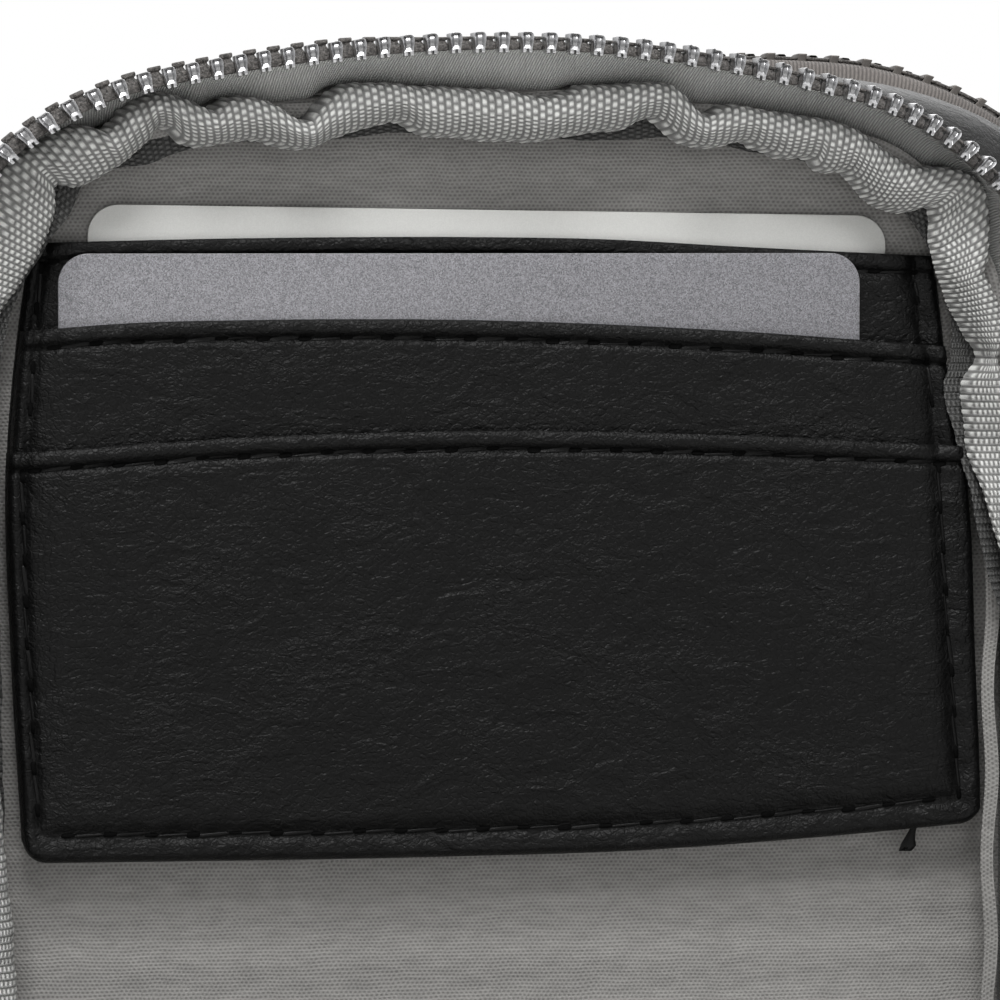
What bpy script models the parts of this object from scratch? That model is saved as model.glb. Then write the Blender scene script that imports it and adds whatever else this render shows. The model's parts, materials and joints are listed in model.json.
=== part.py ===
"""A small two-compartment zip bag, standing up with its front compartment opened flat.

The middle panel stands upright and carries the card pocket. The main compartment is in front of it
and the rear compartment behind it. Each compartment is half on the middle panel and half on a panel
of its own, which turns about the piping along its bottom edge.

X runs across the bag, Y from front to back and Z up. The bag stands on Z = 0, with the middle
panel's middle over the origin. Lengths are in metres.
"""

import math

import bmesh
import bpy
from mathutils import Matrix, Vector

# The seam that runs round every panel: straight sides, a flat crown and round shoulders and corners.
# Its width follows from the card pocket.
SEAM_HEIGHT = 0.1751
CROWN_RADIUS = 0.190
SHOULDER_RADIUS = 0.026
CORNER_RADIUS = 0.014
SHOULDER_STEPS = 8
CROWN_STEPS = 8
CORNER_STEPS = 5

# Sheet goods and the gap left between neighbours
CLEARANCE = 0.0003
OVERRUN = 0.001
LEATHER = 0.0012
THIN_LEATHER = 0.0008
NYLON = 0.0005
STIFFENER = 0.0020
TAPE = 0.0007
MERGE_DISTANCE = 0.00001
PIPING_RESOLUTION = 2
BINDING_RESOLUTION = 1
SMOOTH_ANGLE = math.radians(40)
BEVEL_ANGLE = math.radians(60)

# Trim along the seams
PIPING_RADIUS = 0.0013
BAND_WIDTH = 0.0090
BAND_BEVEL = 0.0008
BINDING_RADIUS = 0.0022
PANEL_INSET = 0.0010

# Each zip: one row of teeth stands away from the seam, on a tape that flares out from under the trim
COMPARTMENT_DEPTH = 0.0230
TAPE_FLARE = 0.0024
TAPE_FLARE_RUN = 0.0038
TOOTH_PITCH = 0.00254
TOOTH_LENGTH = 0.0025
TOOTH_ROOT = 0.0007
TOOTH_THICKNESS = 0.0022
ROW_GAP = 0.0012
GUSSET_TOP = 0.0180
ROW_LOW_LEAD = 0.0040
STOP_HEIGHT = 0.0027
STOP_DEPTH = 0.0020

# Sliders and their pullers
SLIDER_HEIGHT = 0.0130
SLIDER_HALF_WIDTH = 0.0046
SLIDER_PLATE = 0.0012
SLIDER_POST = 0.0006
SLIDER_REST = 0.0300
CROWN_WIDTH = 0.0020
CROWN_OPENING = 0.0026
CROWN_OPENING_HEIGHT = 0.0060
CROWN_WALL = 0.0010
PULLER_LENGTH = 0.0220
PULLER_WIDTH = 0.0070
PULLER_THICKNESS = 0.0014
PULLER_BAR = 0.0012
PULLER_EYE_WIDTH = 0.0032
PULLER_EYE_HEIGHT = 0.0054
PLATE_WIDTH_SHARES = (-0.70, 0.70, 0.82, 1.00, 1.00, 0.86, -0.86, -1.00, -1.00, -0.82)
PLATE_HEIGHT_SHARES = (-0.50, -0.50, 0.00, 0.20, 0.42, 0.50, 0.50, 0.42, 0.20, 0.00)
POST_LOW_SHARE = 0.05
POST_HIGH_SHARE = 0.30
PULLER_TIP_SHARE = 0.55

# Strap tabs and D-rings
TAB_DROP = 0.0090
TAB_WIDTH = 0.0080
TAB_THICKNESS = 0.0010
TAB_TAIL = 0.0008
RING_WIRE_RADIUS = 0.0010
RING_HALF_WIDTH = 0.0060
RING_STRAIGHT = 0.0040
RING_CORNER = 0.0010
RING_PLAY = 0.0004
RING_STEPS = 8
RING_RESOLUTION = 2
TAB_STEPS = 14

# The two cards, placed from the top of the seam, and the pocket that is sized to hold them
CARD_WIDTH = 0.0856
CARD_HEIGHT = 0.0540
CARD_THICKNESS = 0.00076
CARD_CORNER = 0.0032
FLAT_CORNER_STEPS = 3
WHITE_CARD_DROP = 0.0145
WHITE_CARD_SHOWN = 0.0036
WHITE_CARD_SIDE = 0.0003
WHITE_CARD_TILT = math.radians(0.8)
SILVER_CARD_DROP = 0.0191
SILVER_CARD_SHOWN = 0.0081
SILVER_CARD_SIDE = -0.0026
LAYER_STEP = 0.0115
POCKET_FLOOR = 0.0093
POCKET_CORNER = 0.0030
SLOT_PLAY = 0.0034
BACK_LAYER_MARGIN = 0.0018
MIDDLE_LAYER_MARGIN = 0.0036
FRONT_LAYER_MARGIN = 0.0048
POCKET_BORDER = 0.0060

# Places that follow from the sizes above
SLOT_HALF_WIDTH = CARD_WIDTH / 2 + SLOT_PLAY
BACK_LAYER_HALF_WIDTH = SLOT_HALF_WIDTH + BACK_LAYER_MARGIN
MIDDLE_LAYER_HALF_WIDTH = SLOT_HALF_WIDTH + MIDDLE_LAYER_MARGIN
FRONT_LAYER_HALF_WIDTH = SLOT_HALF_WIDTH + FRONT_LAYER_MARGIN
SEAM_HALF_WIDTH = FRONT_LAYER_HALF_WIDTH + POCKET_BORDER
BAND_THICKNESS = 2 * PIPING_RADIUS
SEAM_BOTTOM = CLEARANCE + BAND_THICKNESS
SEAM_TOP = SEAM_BOTTOM + SEAM_HEIGHT
SHOULDER_X = SEAM_HALF_WIDTH - SHOULDER_RADIUS
CORNER_X = SEAM_HALF_WIDTH - CORNER_RADIUS
CORNER_Z = SEAM_BOTTOM + CORNER_RADIUS
CROWN_Z = SEAM_TOP - CROWN_RADIUS
SHOULDER_RISE = math.sqrt((CROWN_RADIUS - SHOULDER_RADIUS) ** 2 - SHOULDER_X**2)
SHOULDER_Z = CROWN_Z + SHOULDER_RISE
SHOULDER_ANGLE = math.atan2(SHOULDER_RISE, SHOULDER_X)
TAB_HEIGHT = SHOULDER_Z - TAB_DROP
WHITE_CARD_TOP = SEAM_TOP - WHITE_CARD_DROP
SILVER_CARD_TOP = SEAM_TOP - SILVER_CARD_DROP
BACK_LAYER_TOP = WHITE_CARD_TOP - WHITE_CARD_SHOWN
MIDDLE_LAYER_TOP = SILVER_CARD_TOP - SILVER_CARD_SHOWN
FRONT_LAYER_TOP = MIDDLE_LAYER_TOP - LAYER_STEP
POCKET_BOTTOM = SILVER_CARD_TOP - CARD_HEIGHT - POCKET_FLOOR
LINING_FACE = STIFFENER / 2 + CLEARANCE + NYLON
ZIP_MIDDLE = LINING_FACE + COMPARTMENT_DEPTH / 2
FAR_LINING_FACE = LINING_FACE + COMPARTMENT_DEPTH
FAR_STIFFENER_FACE = FAR_LINING_FACE + NYLON + CLEARANCE
FAR_LEATHER_FACE = FAR_STIFFENER_FACE + STIFFENER + CLEARANCE
OUTER_FACE = FAR_LEATHER_FACE + LEATHER
HINGE_DEPTH = OUTER_FACE - PIPING_RADIUS
HINGE_HEIGHT = SEAM_BOTTOM - CLEARANCE - PIPING_RADIUS
BAND_EDGE = BAND_WIDTH / 2
TAPE_LOW = GUSSET_TOP + CLEARANCE
ROW_LOW = GUSSET_TOP + ROW_LOW_LEAD
ROW_TIP = ZIP_MIDDLE - ROW_GAP / 2
ROW_BASE = ROW_TIP - TOOTH_LENGTH
TAPE_EDGE = ROW_BASE - CLEARANCE
OUTER_PLATE_NEAR = TAPE_FLARE + TOOTH_THICKNESS / 2 + CLEARANCE
OUTER_PLATE_FAR = OUTER_PLATE_NEAR + SLIDER_PLATE
INNER_PLATE_FAR = TAPE_FLARE - TOOTH_THICKNESS / 2 - CLEARANCE
PULLER_OFFSET = OUTER_PLATE_FAR + CROWN_OPENING / 2
POCKET_SLOTS_DEPTH = 2 * CARD_THICKNESS + 3 * CLEARANCE + THIN_LEATHER
TAB_LOOP_RADIUS = RING_WIRE_RADIUS + RING_PLAY + TAB_THICKNESS
TAB_FOOT = BAND_THICKNESS + 2 * CLEARANCE
RING_OFFSET = TAB_FOOT + TAB_TAIL + TAB_LOOP_RADIUS


# Scene, collections and finishes
for leftover in list(bpy.data.objects):
    bpy.data.objects.remove(leftover, do_unlink=True)

bag = bpy.data.collections.new("mini_bag")
helpers = bpy.data.collections.new("mini_bag_helpers")
bpy.context.scene.collection.children.link(bag)
bpy.context.scene.collection.children.link(helpers)


def finish(name, colour, roughness, metallic=0.0):
    """A plain surface of one colour."""
    made = bpy.data.materials.new(name)
    made.use_nodes = True
    shader = made.node_tree.nodes["Principled BSDF"]
    shader.inputs["Base Color"].default_value = (*colour, 1.0)
    shader.inputs["Roughness"].default_value = roughness
    shader.inputs["Metallic"].default_value = metallic
    return made


black_leather = finish("black_leather", (0.013, 0.013, 0.013), 0.5)
pocket_leather = finish("pocket_leather", (0.011, 0.011, 0.011), 0.55)
grey_nylon = finish("grey_nylon", (0.21, 0.21, 0.20), 0.6)
grey_ribbon = finish("grey_ribbon", (0.24, 0.24, 0.23), 0.7)
grey_tape = finish("grey_tape", (0.17, 0.17, 0.16), 0.8)
board = finish("board", (0.30, 0.29, 0.27), 0.9)
nickel = finish("nickel", (0.70, 0.70, 0.71), 0.25, 1.0)
white_plastic = finish("white_plastic", (0.56, 0.56, 0.54), 0.4)
silver_plastic = finish("silver_plastic", (0.26, 0.26, 0.28), 0.35, 0.4)


# Where things sit: an empty stands on each joint's axis and carries what turns there
def joint_empty(name, place, parent=None):
    """An empty on a joint's axis, unturned, at a place given in world coordinates."""
    empty = bpy.data.objects.new(name, None)
    helpers.objects.link(empty)
    empty.location = place
    if parent:
        attach(empty, parent, parent.location)
    return empty


def attach(piece, empty, place):
    """Parents a piece placed in world coordinates to an empty that stands unturned at a place."""
    piece.parent = empty
    piece.matrix_parent_inverse = Matrix.Translation(-Vector(place))


def keep(piece, surface, empty=None):
    """Files a finished piece in the bag's collection, with its surface and what carries it."""
    for holder in list(piece.users_collection):
        holder.objects.unlink(piece)
    bag.objects.link(piece)
    piece.data.materials.append(surface)
    if empty:
        attach(piece, empty, empty.location)
    return piece


# Outlines, as lists of (x, z) points
def arc(x, z, radius, start, end, steps):
    """Points along an arc, both ends included."""
    turns = [start + (end - start) * step / steps for step in range(steps + 1)]
    return [(x + radius * math.cos(turn), z + radius * math.sin(turn)) for turn in turns]


def top_arcs(offset):
    """The left shoulder, crown and right shoulder of the line that runs this far outside the seam."""
    shoulder = SHOULDER_RADIUS + offset
    crown = CROWN_RADIUS + offset
    left_end = math.pi - SHOULDER_ANGLE
    left = arc(-SHOULDER_X, SHOULDER_Z, shoulder, math.pi, left_end, SHOULDER_STEPS)
    middle = arc(0, CROWN_Z, crown, left_end, SHOULDER_ANGLE, CROWN_STEPS)
    right = arc(SHOULDER_X, SHOULDER_Z, shoulder, SHOULDER_ANGLE, 0, SHOULDER_STEPS)
    return [*left, *middle[1:-1], *right]


def bottom_arcs(offset):
    """The right and left corners of the same line."""
    corner = CORNER_RADIUS + offset
    right = arc(CORNER_X, CORNER_Z, corner, 0, -math.pi / 2, CORNER_STEPS)
    left = arc(-CORNER_X, CORNER_Z, corner, -math.pi / 2, -math.pi, CORNER_STEPS)
    return [*right, *left]


def over_the_top(offset, low):
    """From the left foot over the crown to the right foot, which both stand at the height low."""
    half = SEAM_HALF_WIDTH + offset
    return [(-half, low), *top_arcs(offset), (half, low)]


def under_the_bottom(offset, high):
    """From the right side under the bag to the left side, with both ends at the height high."""
    half = SEAM_HALF_WIDTH + offset
    return [(half, high), *bottom_arcs(offset), (-half, high)]


def all_round(offset):
    """The whole closed line."""
    return [*top_arcs(offset), *bottom_arcs(offset)]


def rounded_box(low_x, low_z, high_x, high_z, bottom_radius, top_radius):
    """A rectangle with rounded corners, one radius for the lower two and one for the upper two."""
    corners = (
        (high_x, high_z, top_radius, 0.0),
        (low_x, high_z, top_radius, math.pi / 2),
        (low_x, low_z, bottom_radius, math.pi),
        (high_x, low_z, bottom_radius, 3 * math.pi / 2),
    )
    points = []
    for x, z, radius, start in corners:
        if not radius:
            points.append((x, z))
            continue
        inner_x = x - math.copysign(radius, x - (low_x + high_x) / 2)
        inner_z = z - math.copysign(radius, z - (low_z + high_z) / 2)
        points += arc(inner_x, inner_z, radius, start, start + math.pi / 2, FLAT_CORNER_STEPS)
    return points


# Ways of making a piece
FACING_FRONT = (math.pi / 2, 0.0, 0.0)
FACING_SIDE = (math.pi / 2, 0.0, math.pi / 2)


def flat_piece(name, outlines, thickness, place, turn):
    """A flat piece cut to an outline, whose further outlines are holes, and centred on its place."""
    curve = bpy.data.curves.new(name, "CURVE")
    curve.dimensions = "2D"
    curve.fill_mode = "BOTH"
    curve.extrude = thickness / 2
    for outline in outlines:
        spline = curve.splines.new("POLY")
        spline.points.add(len(outline) - 1)
        for point, (across, up) in zip(spline.points, outline):
            point.co = (across, up, 0.0, 1.0)
        spline.use_cyclic_u = True
    piece = bpy.data.objects.new(name, curve)
    helpers.objects.link(piece)
    piece.location = place
    piece.rotation_euler = turn
    return piece


def sheet_between(name, outline, start, end):
    """A flat piece parallel to the panels, between two places in Y."""
    return flat_piece(name, [outline], abs(end - start), (0, (start + end) / 2, 0), FACING_FRONT)


def tube(name, points, radius, resolution):
    """A round tube along a closed line of points."""
    curve = bpy.data.curves.new(name, "CURVE")
    curve.dimensions = "3D"
    curve.bevel_depth = radius
    curve.bevel_resolution = resolution
    spline = curve.splines.new("POLY")
    spline.points.add(len(points) - 1)
    for point, place in zip(spline.points, points):
        point.co = (*place, 1.0)
    spline.use_cyclic_u = True
    spline.use_smooth = True
    piece = bpy.data.objects.new(name, curve)
    helpers.objects.link(piece)
    return piece


def from_faces(name, build, thickness, smooth_angle=None):
    """An open surface that build makes in a bmesh, given its thickness evenly to both sides."""
    shell = bmesh.new()
    build(shell)
    bmesh.ops.remove_doubles(shell, verts=shell.verts, dist=MERGE_DISTANCE)
    mesh = bpy.data.meshes.new(name)
    shell.to_mesh(mesh)
    shell.free()
    if smooth_angle:
        mesh.shade_smooth()
        mesh.set_sharp_from_angle(angle=smooth_angle)
    piece = bpy.data.objects.new(name, mesh)
    helpers.objects.link(piece)
    solid = piece.modifiers.new("thickness", "SOLIDIFY")
    solid.thickness = thickness
    solid.offset = 0.0
    solid.use_even_offset = True
    return piece


def strip(name, route, profile, thickness, closed=False):
    """A strip along a route, whose cross-section is a list of (distance outside the seam, y)."""

    def build(shell):
        rows = []
        for offset, y in profile:
            rows.append([shell.verts.new((x, y, z)) for x, z in route(offset)])
        for near, far in zip(rows, rows[1:]):
            count = len(near) if closed else len(near) - 1
            for i in range(count):
                after = (i + 1) % len(near)
                shell.faces.new((near[i], near[after], far[after], far[i]))

    return from_faces(name, build, thickness, SMOOTH_ANGLE)


def tooth_row(name, route, base, tip):
    """A row of pointed teeth on a narrow spine, the teeth a pitch apart along the whole route."""
    root = base + math.copysign(TOOTH_ROOT, tip - base)
    half_pitch = TOOTH_PITCH / 2

    def build(shell):
        passed = 0.0
        for (x0, z0), (x1, z1) in zip(route, route[1:]):
            length = math.hypot(x1 - x0, z1 - z0)
            nearest = math.ceil((passed + CLEARANCE) / half_pitch)
            furthest = math.floor((passed + length - CLEARANCE) / half_pitch)
            marks = [mark * half_pitch - passed for mark in range(nearest, furthest + 1)]
            edge = []
            for along in (0.0, *marks, length):
                rise = 1 - abs((passed + along) / half_pitch % 2 - 1)
                share = along / length
                x = x0 + (x1 - x0) * share
                z = z0 + (z1 - z0) * share
                edge.append(shell.verts.new((x, root + (tip - root) * rise, z)))
            spine = [shell.verts.new((x1, base, z1)), shell.verts.new((x0, base, z0))]
            shell.faces.new((*edge, *spine))
            passed += length

    return from_faces(name, build, TOOTH_THICKNESS)


def block(name, low, high):
    """A plain box between two corners."""
    shell = bmesh.new()
    size = [abs(b - a) for a, b in zip(low, high)]
    middle = [(a + b) / 2 for a, b in zip(low, high)]
    scale = Matrix.Diagonal((*size, 1.0))
    bmesh.ops.create_cube(shell, size=1.0, matrix=Matrix.Translation(middle) @ scale)
    mesh = bpy.data.meshes.new(name)
    shell.to_mesh(mesh)
    shell.free()
    piece = bpy.data.objects.new(name, mesh)
    helpers.objects.link(piece)
    return piece


def meshed(piece):
    """The same piece as a mesh with its caps closed, in place of its curve."""
    bpy.context.view_layer.update()
    graph = bpy.context.evaluated_depsgraph_get()
    mesh = bpy.data.meshes.new_from_object(piece.evaluated_get(graph))
    shell = bmesh.new()
    shell.from_mesh(mesh)
    bmesh.ops.remove_doubles(shell, verts=shell.verts, dist=MERGE_DISTANCE)
    shell.to_mesh(mesh)
    shell.free()
    name = piece.name
    solid = bpy.data.objects.new(name + "_mesh", mesh)
    solid.matrix_world = piece.matrix_world
    helpers.objects.link(solid)
    bpy.data.objects.remove(piece, do_unlink=True)
    solid.name = name
    return solid


def combine(piece, tool, operation):
    """Adds a hidden helper solid to a piece, or takes it away."""
    tool.hide_render = True
    tool.display_type = "WIRE"
    step = piece.modifiers.new(operation.lower(), "BOOLEAN")
    step.operation = operation
    step.solver = "EXACT"
    step.object = tool


# The middle: two linings on a stiffener, edged by the rounded band that both zips are sewn to
def build_middle():
    inset = all_round(-PANEL_INSET)
    half = STIFFENER / 2
    keep(sheet_between("middle_stiffener", inset, -half, half), board)
    near = half + CLEARANCE
    keep(sheet_between("main_lining", inset, -near, -LINING_FACE), grey_nylon)
    keep(sheet_between("rear_lining", inset, near, LINING_FACE), grey_nylon)
    middle = CLEARANCE + BAND_THICKNESS / 2
    edges = [(middle, -BAND_EDGE), (middle, BAND_EDGE)]
    band = strip("middle_band", all_round, edges, BAND_THICKNESS, closed=True)
    rounding = band.modifiers.new("rounding", "BEVEL")
    rounding.width = BAND_BEVEL
    rounding.segments = 1
    rounding.limit_method = "ANGLE"
    rounding.angle_limit = BEVEL_ANGLE
    keep(band, black_leather)


# The pocket: three layers, the back two hollowed behind to hold a card
def pocket_layer(name, half_width, top, back, slot_front, front, slot_floor):
    """One leather layer between two depths in front of the panel, with its card slot cut behind."""
    corner = POCKET_CORNER
    outline = rounded_box(-half_width, POCKET_BOTTOM, half_width, top, corner, 0.0)
    layer = meshed(sheet_between(name, outline, -back, -front))
    if slot_front:
        low = (-SLOT_HALF_WIDTH, -slot_front, slot_floor)
        high = (SLOT_HALF_WIDTH, -back + OVERRUN, top + OVERRUN)
        combine(layer, block(name + "_slot", low, high), "DIFFERENCE")
    keep(layer, pocket_leather)


def card(name, side, top, depth, tilt, surface):
    """A card whose back lies at a depth in front of the middle panel's middle."""
    half_width = CARD_WIDTH / 2
    half_height = CARD_HEIGHT / 2
    outline = rounded_box(
        -half_width, -half_height, half_width, half_height, CARD_CORNER, CARD_CORNER
    )
    place = (side, -depth - CARD_THICKNESS / 2, top - half_height)
    made = flat_piece(name, [outline], CARD_THICKNESS, place, FACING_FRONT)
    made.rotation_euler = (FACING_FRONT[0], tilt, 0.0)
    keep(made, surface)


def build_pocket():
    white_back = LINING_FACE + CLEARANCE
    back_sheet = white_back + CARD_THICKNESS + CLEARANCE
    back_front = back_sheet + THIN_LEATHER
    silver_back = back_front + CLEARANCE
    middle_sheet = silver_back + CARD_THICKNESS + CLEARANCE
    middle_front = middle_sheet + THIN_LEATHER
    front_back = middle_front + CLEARANCE
    front_front = front_back + THIN_LEATHER
    tilt_drop = CARD_WIDTH / 2 * math.sin(WHITE_CARD_TILT)
    white_floor = WHITE_CARD_TOP - CARD_HEIGHT - tilt_drop - CLEARANCE
    silver_floor = SILVER_CARD_TOP - CARD_HEIGHT - CLEARANCE
    pocket_layer(
        "pocket_back_layer", BACK_LAYER_HALF_WIDTH, BACK_LAYER_TOP,
        white_back, back_sheet, back_front, white_floor,
    )
    pocket_layer(
        "pocket_middle_layer", MIDDLE_LAYER_HALF_WIDTH, MIDDLE_LAYER_TOP,
        silver_back, middle_sheet, middle_front, silver_floor,
    )
    pocket_layer(
        "pocket_front_layer", FRONT_LAYER_HALF_WIDTH, FRONT_LAYER_TOP,
        front_back, None, front_front, None,
    )
    card(
        "white_card", WHITE_CARD_SIDE, WHITE_CARD_TOP, white_back, WHITE_CARD_TILT, white_plastic
    )
    card("silver_card", SILVER_CARD_SIDE, SILVER_CARD_TOP, silver_back, 0.0, silver_plastic)


# One compartment: half of it on the middle panel, the other half on a panel that turns
def tape(name, near, far, edge, empty=None):
    """A zip tape from under the trim at near out to the row of teeth, which it meets at edge."""
    under = -TAPE / 2
    flare_end = edge - math.copysign(TAPE_EDGE - BAND_EDGE - TAPE_FLARE_RUN, edge - near)
    profile = [(under, near), (under, far), (TAPE_FLARE, flare_end), (TAPE_FLARE, edge)]
    keep(strip(name, lambda offset: over_the_top(offset, TAPE_LOW), profile, TAPE), grey_tape, empty)


def stop(name, side, low, near, far, empty=None):
    """A small clamp at one end of a row of teeth."""
    inner = side * (SEAM_HALF_WIDTH + TAPE_FLARE - TOOTH_THICKNESS / 2)
    outer = side * (SEAM_HALF_WIDTH + TAPE_FLARE + TOOTH_THICKNESS / 2)
    keep(block(name, (inner, near, low), (outer, far, low + STOP_HEIGHT)), nickel, empty)


def binding(name, y, empty=None):
    """The ribbon folded over the seam allowance, which stands round the panel inside the bag."""
    inset = PANEL_INSET + BINDING_RADIUS
    points = [(x, y, z) for x, z in all_round(-inset)]
    keep(tube(name, points, BINDING_RADIUS, BINDING_RESOLUTION), grey_ribbon, empty)


def build_compartment(space, panel, side, hinge, stand_off):
    """The pieces of one compartment. side is -1 for the one in front and 1 for the one behind.

    stand_off is how far the binding on the middle panel stands off its lining.
    """

    def mirrored(depth):
        """The same depth on the turning panel's half, as a Y."""
        return side * (2 * ZIP_MIDDLE - depth)

    row = over_the_top(TAPE_FLARE, ROW_LOW)
    tape(f"{space}_zip_tape_inner", side * CLEARANCE, side * BAND_EDGE, side * TAPE_EDGE)
    keep(tooth_row(f"{space}_zip_teeth_inner", row, side * ROW_BASE, side * ROW_TIP), nickel)
    keep(tooth_row(f"{space}_zip_teeth_outer", row, mirrored(ROW_BASE), mirrored(ROW_TIP)), nickel, hinge)
    tape(f"{space}_zip_tape_outer", mirrored(CLEARANCE), mirrored(BAND_EDGE), mirrored(TAPE_EDGE), hinge)
    binding_depth = LINING_FACE + CLEARANCE + BINDING_RADIUS
    binding(f"{space}_binding_inner", side * (binding_depth + stand_off))
    binding(f"{space}_binding_outer", mirrored(binding_depth), hinge)

    # The slider rests over the end stop, and the top stops are at the other end of the rows
    stop_low = ROW_LOW - CLEARANCE - STOP_HEIGHT
    stop_far = ROW_BASE + STOP_DEPTH
    near, far = side * ROW_BASE, side * stop_far
    stop(f"{space}_end_stop", side, stop_low, near, far)
    stop(f"{space}_top_stop_inner", -side, stop_low, near, far)
    stop(f"{space}_top_stop_outer", -side, stop_low, mirrored(ROW_BASE), mirrored(stop_far), hinge)

    # The gusset closes the compartment below the zip and ends beside the turning panel's piping
    edge = side * (HINGE_DEPTH - PIPING_RADIUS - CLEARANCE)
    gusset_middle = CLEARANCE + LEATHER / 2
    gusset = [(gusset_middle, side * (BAND_EDGE + CLEARANCE)), (gusset_middle, edge)]
    lining = [(-NYLON / 2, side * (LINING_FACE + CLEARANCE)), (-NYLON / 2, edge)]

    def low_route(offset):
        return under_the_bottom(offset, GUSSET_TOP)

    keep(strip(f"{space}_gusset", low_route, gusset, LEATHER), black_leather)
    keep(strip(f"{space}_gusset_lining", low_route, lining, NYLON), grey_nylon)

    # The turning panel: lining, stiffener, leather and piping
    inset = all_round(-PANEL_INSET)
    stiffener_back = FAR_STIFFENER_FACE + STIFFENER
    layers = (
        (f"{panel}_lining", inset, FAR_LINING_FACE, FAR_LINING_FACE + NYLON, grey_nylon),
        (f"{panel}_stiffener", inset, FAR_STIFFENER_FACE, stiffener_back, board),
        (f"{panel}_panel", all_round(0.0), FAR_LEATHER_FACE, OUTER_FACE, black_leather),
    )
    for name, outline, start, end, surface in layers:
        keep(sheet_between(name, outline, side * start, side * end), surface, hinge)
    centre = CLEARANCE + PIPING_RADIUS
    points = [(x, side * HINGE_DEPTH, z) for x, z in all_round(centre)]
    keep(tube(f"{panel}_piping", points, PIPING_RADIUS, PIPING_RESOLUTION), black_leather, hinge)


# A slider rides the rows on one side of the bag, with its puller hanging from the crown on its face
def slider_plate(name, side, y, start, end):
    """One of the slider's two plates, between two distances outside the seam."""
    shares = zip(PLATE_WIDTH_SHARES, PLATE_HEIGHT_SHARES)
    outline = [(across * SLIDER_HALF_WIDTH, up * SLIDER_HEIGHT) for across, up in shares]
    place = (side * (SEAM_HALF_WIDTH + (start + end) / 2), y, SLIDER_REST)
    return meshed(flat_piece(name, [outline], end - start, place, FACING_SIDE))


def build_slider(space, side):
    """The slider and puller of one zip, on the side of the bag where the zip's closed end is."""
    y = side * ZIP_MIDDLE
    name = f"{space}_slider"
    empty = joint_empty(f"{name}_run", (side * SEAM_HALF_WIDTH, y, SLIDER_REST))
    body = slider_plate(name, side, y, OUTER_PLATE_NEAR, OUTER_PLATE_FAR)
    inner = INNER_PLATE_FAR - SLIDER_PLATE
    combine(body, slider_plate(name + "_inner_plate", side, y, inner, INNER_PLATE_FAR), "UNION")
    sunk = SLIDER_PLATE / 2
    half_post = SLIDER_POST / 2
    low = (
        side * (SEAM_HALF_WIDTH + INNER_PLATE_FAR - sunk),
        y - half_post,
        SLIDER_REST + POST_LOW_SHARE * SLIDER_HEIGHT,
    )
    high = (
        side * (SEAM_HALF_WIDTH + OUTER_PLATE_NEAR + sunk),
        y + half_post,
        SLIDER_REST + POST_HIGH_SHARE * SLIDER_HEIGHT,
    )
    combine(body, block(name + "_post", low, high), "UNION")

    # The crown is a frame sunk into the outer plate
    half_opening = CROWN_OPENING_HEIGHT / 2
    half_frame = half_opening + CROWN_WALL
    foot = OUTER_PLATE_FAR - sunk
    floor = OUTER_PLATE_FAR - sunk / 2
    roof = OUTER_PLATE_FAR + CROWN_OPENING
    frame = rectangle(side, foot, roof + CROWN_WALL, half_frame)
    opening = rectangle(side, floor, roof, half_opening)
    crown = flat_piece(
        name + "_crown", [frame, opening], CROWN_WIDTH, (0, y, SLIDER_REST), FACING_FRONT
    )
    combine(body, meshed(crown), "UNION")
    keep(body, nickel, empty)

    # The puller is a flat tab with an eye, whose top bar lies under the crown
    hang = (side * (SEAM_HALF_WIDTH + PULLER_OFFSET), y, SLIDER_REST)
    pivot = joint_empty(f"{space}_puller_pivot", hang, empty)
    half_bar = PULLER_BAR / 2
    half_width = PULLER_WIDTH / 2
    half_eye = PULLER_EYE_WIDTH / 2
    tip = half_width * PULLER_TIP_SHARE
    outline = rounded_box(-half_width, -PULLER_LENGTH, half_width, half_bar, tip, half_bar)
    eye = rounded_box(-half_eye, -half_bar - PULLER_EYE_HEIGHT, half_eye, -half_bar, 0.0, 0.0)
    made = flat_piece(f"{space}_puller", [outline, eye], PULLER_THICKNESS, hang, FACING_SIDE)
    keep(made, nickel)
    made.location = (0.0, 0.0, 0.0)
    made.parent = pivot


def rectangle(side, near, far, half_height):
    """A rectangle between two distances outside the seam, as (x, z) points about a height."""
    inner = side * (SEAM_HALF_WIDTH + near)
    outer = side * (SEAM_HALF_WIDTH + far)
    return [(inner, -half_height), (outer, -half_height), (outer, half_height), (inner, half_height)]


# A strap tab is a leather loop sewn to the band, with a D-ring hanging in it
def build_strap_loop(name, side):
    middle = side * (SEAM_HALF_WIDTH + RING_OFFSET)
    reach = math.asin(TAB_THICKNESS / TAB_LOOP_RADIUS)
    loop = arc(0, 0, TAB_LOOP_RADIUS, reach - math.pi, math.pi - reach, TAB_STEPS)
    foot = RING_OFFSET - TAB_FOOT
    outline = [(-foot, -TAB_THICKNESS), *loop, (-foot, TAB_THICKNESS)]
    hole = arc(0, 0, RING_WIRE_RADIUS + RING_PLAY, 0, math.tau, TAB_STEPS)[:-1]
    outlines = [[(side * x, z) for x, z in points] for points in (outline, hole)]
    place = (middle, 0, TAB_HEIGHT)
    keep(flat_piece(f"{name}_strap_tab", outlines, TAB_WIDTH, place, FACING_FRONT), black_leather)

    # The ring hangs straight down from its bar
    pivot = joint_empty(f"{name}_ring_pivot", place)
    half = RING_HALF_WIDTH
    bow = arc(0, -RING_STRAIGHT, half, 0, -math.pi, RING_STEPS)
    line = [(-half, -RING_CORNER), (RING_CORNER - half, 0), (half - RING_CORNER, 0), (half, -RING_CORNER)]
    points = [(0, y, z) for y, z in (*line, *bow)]
    ring = tube(f"{name}_d_ring", points, RING_WIRE_RADIUS, RING_RESOLUTION)
    keep(ring, nickel)
    ring.parent = pivot


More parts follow.
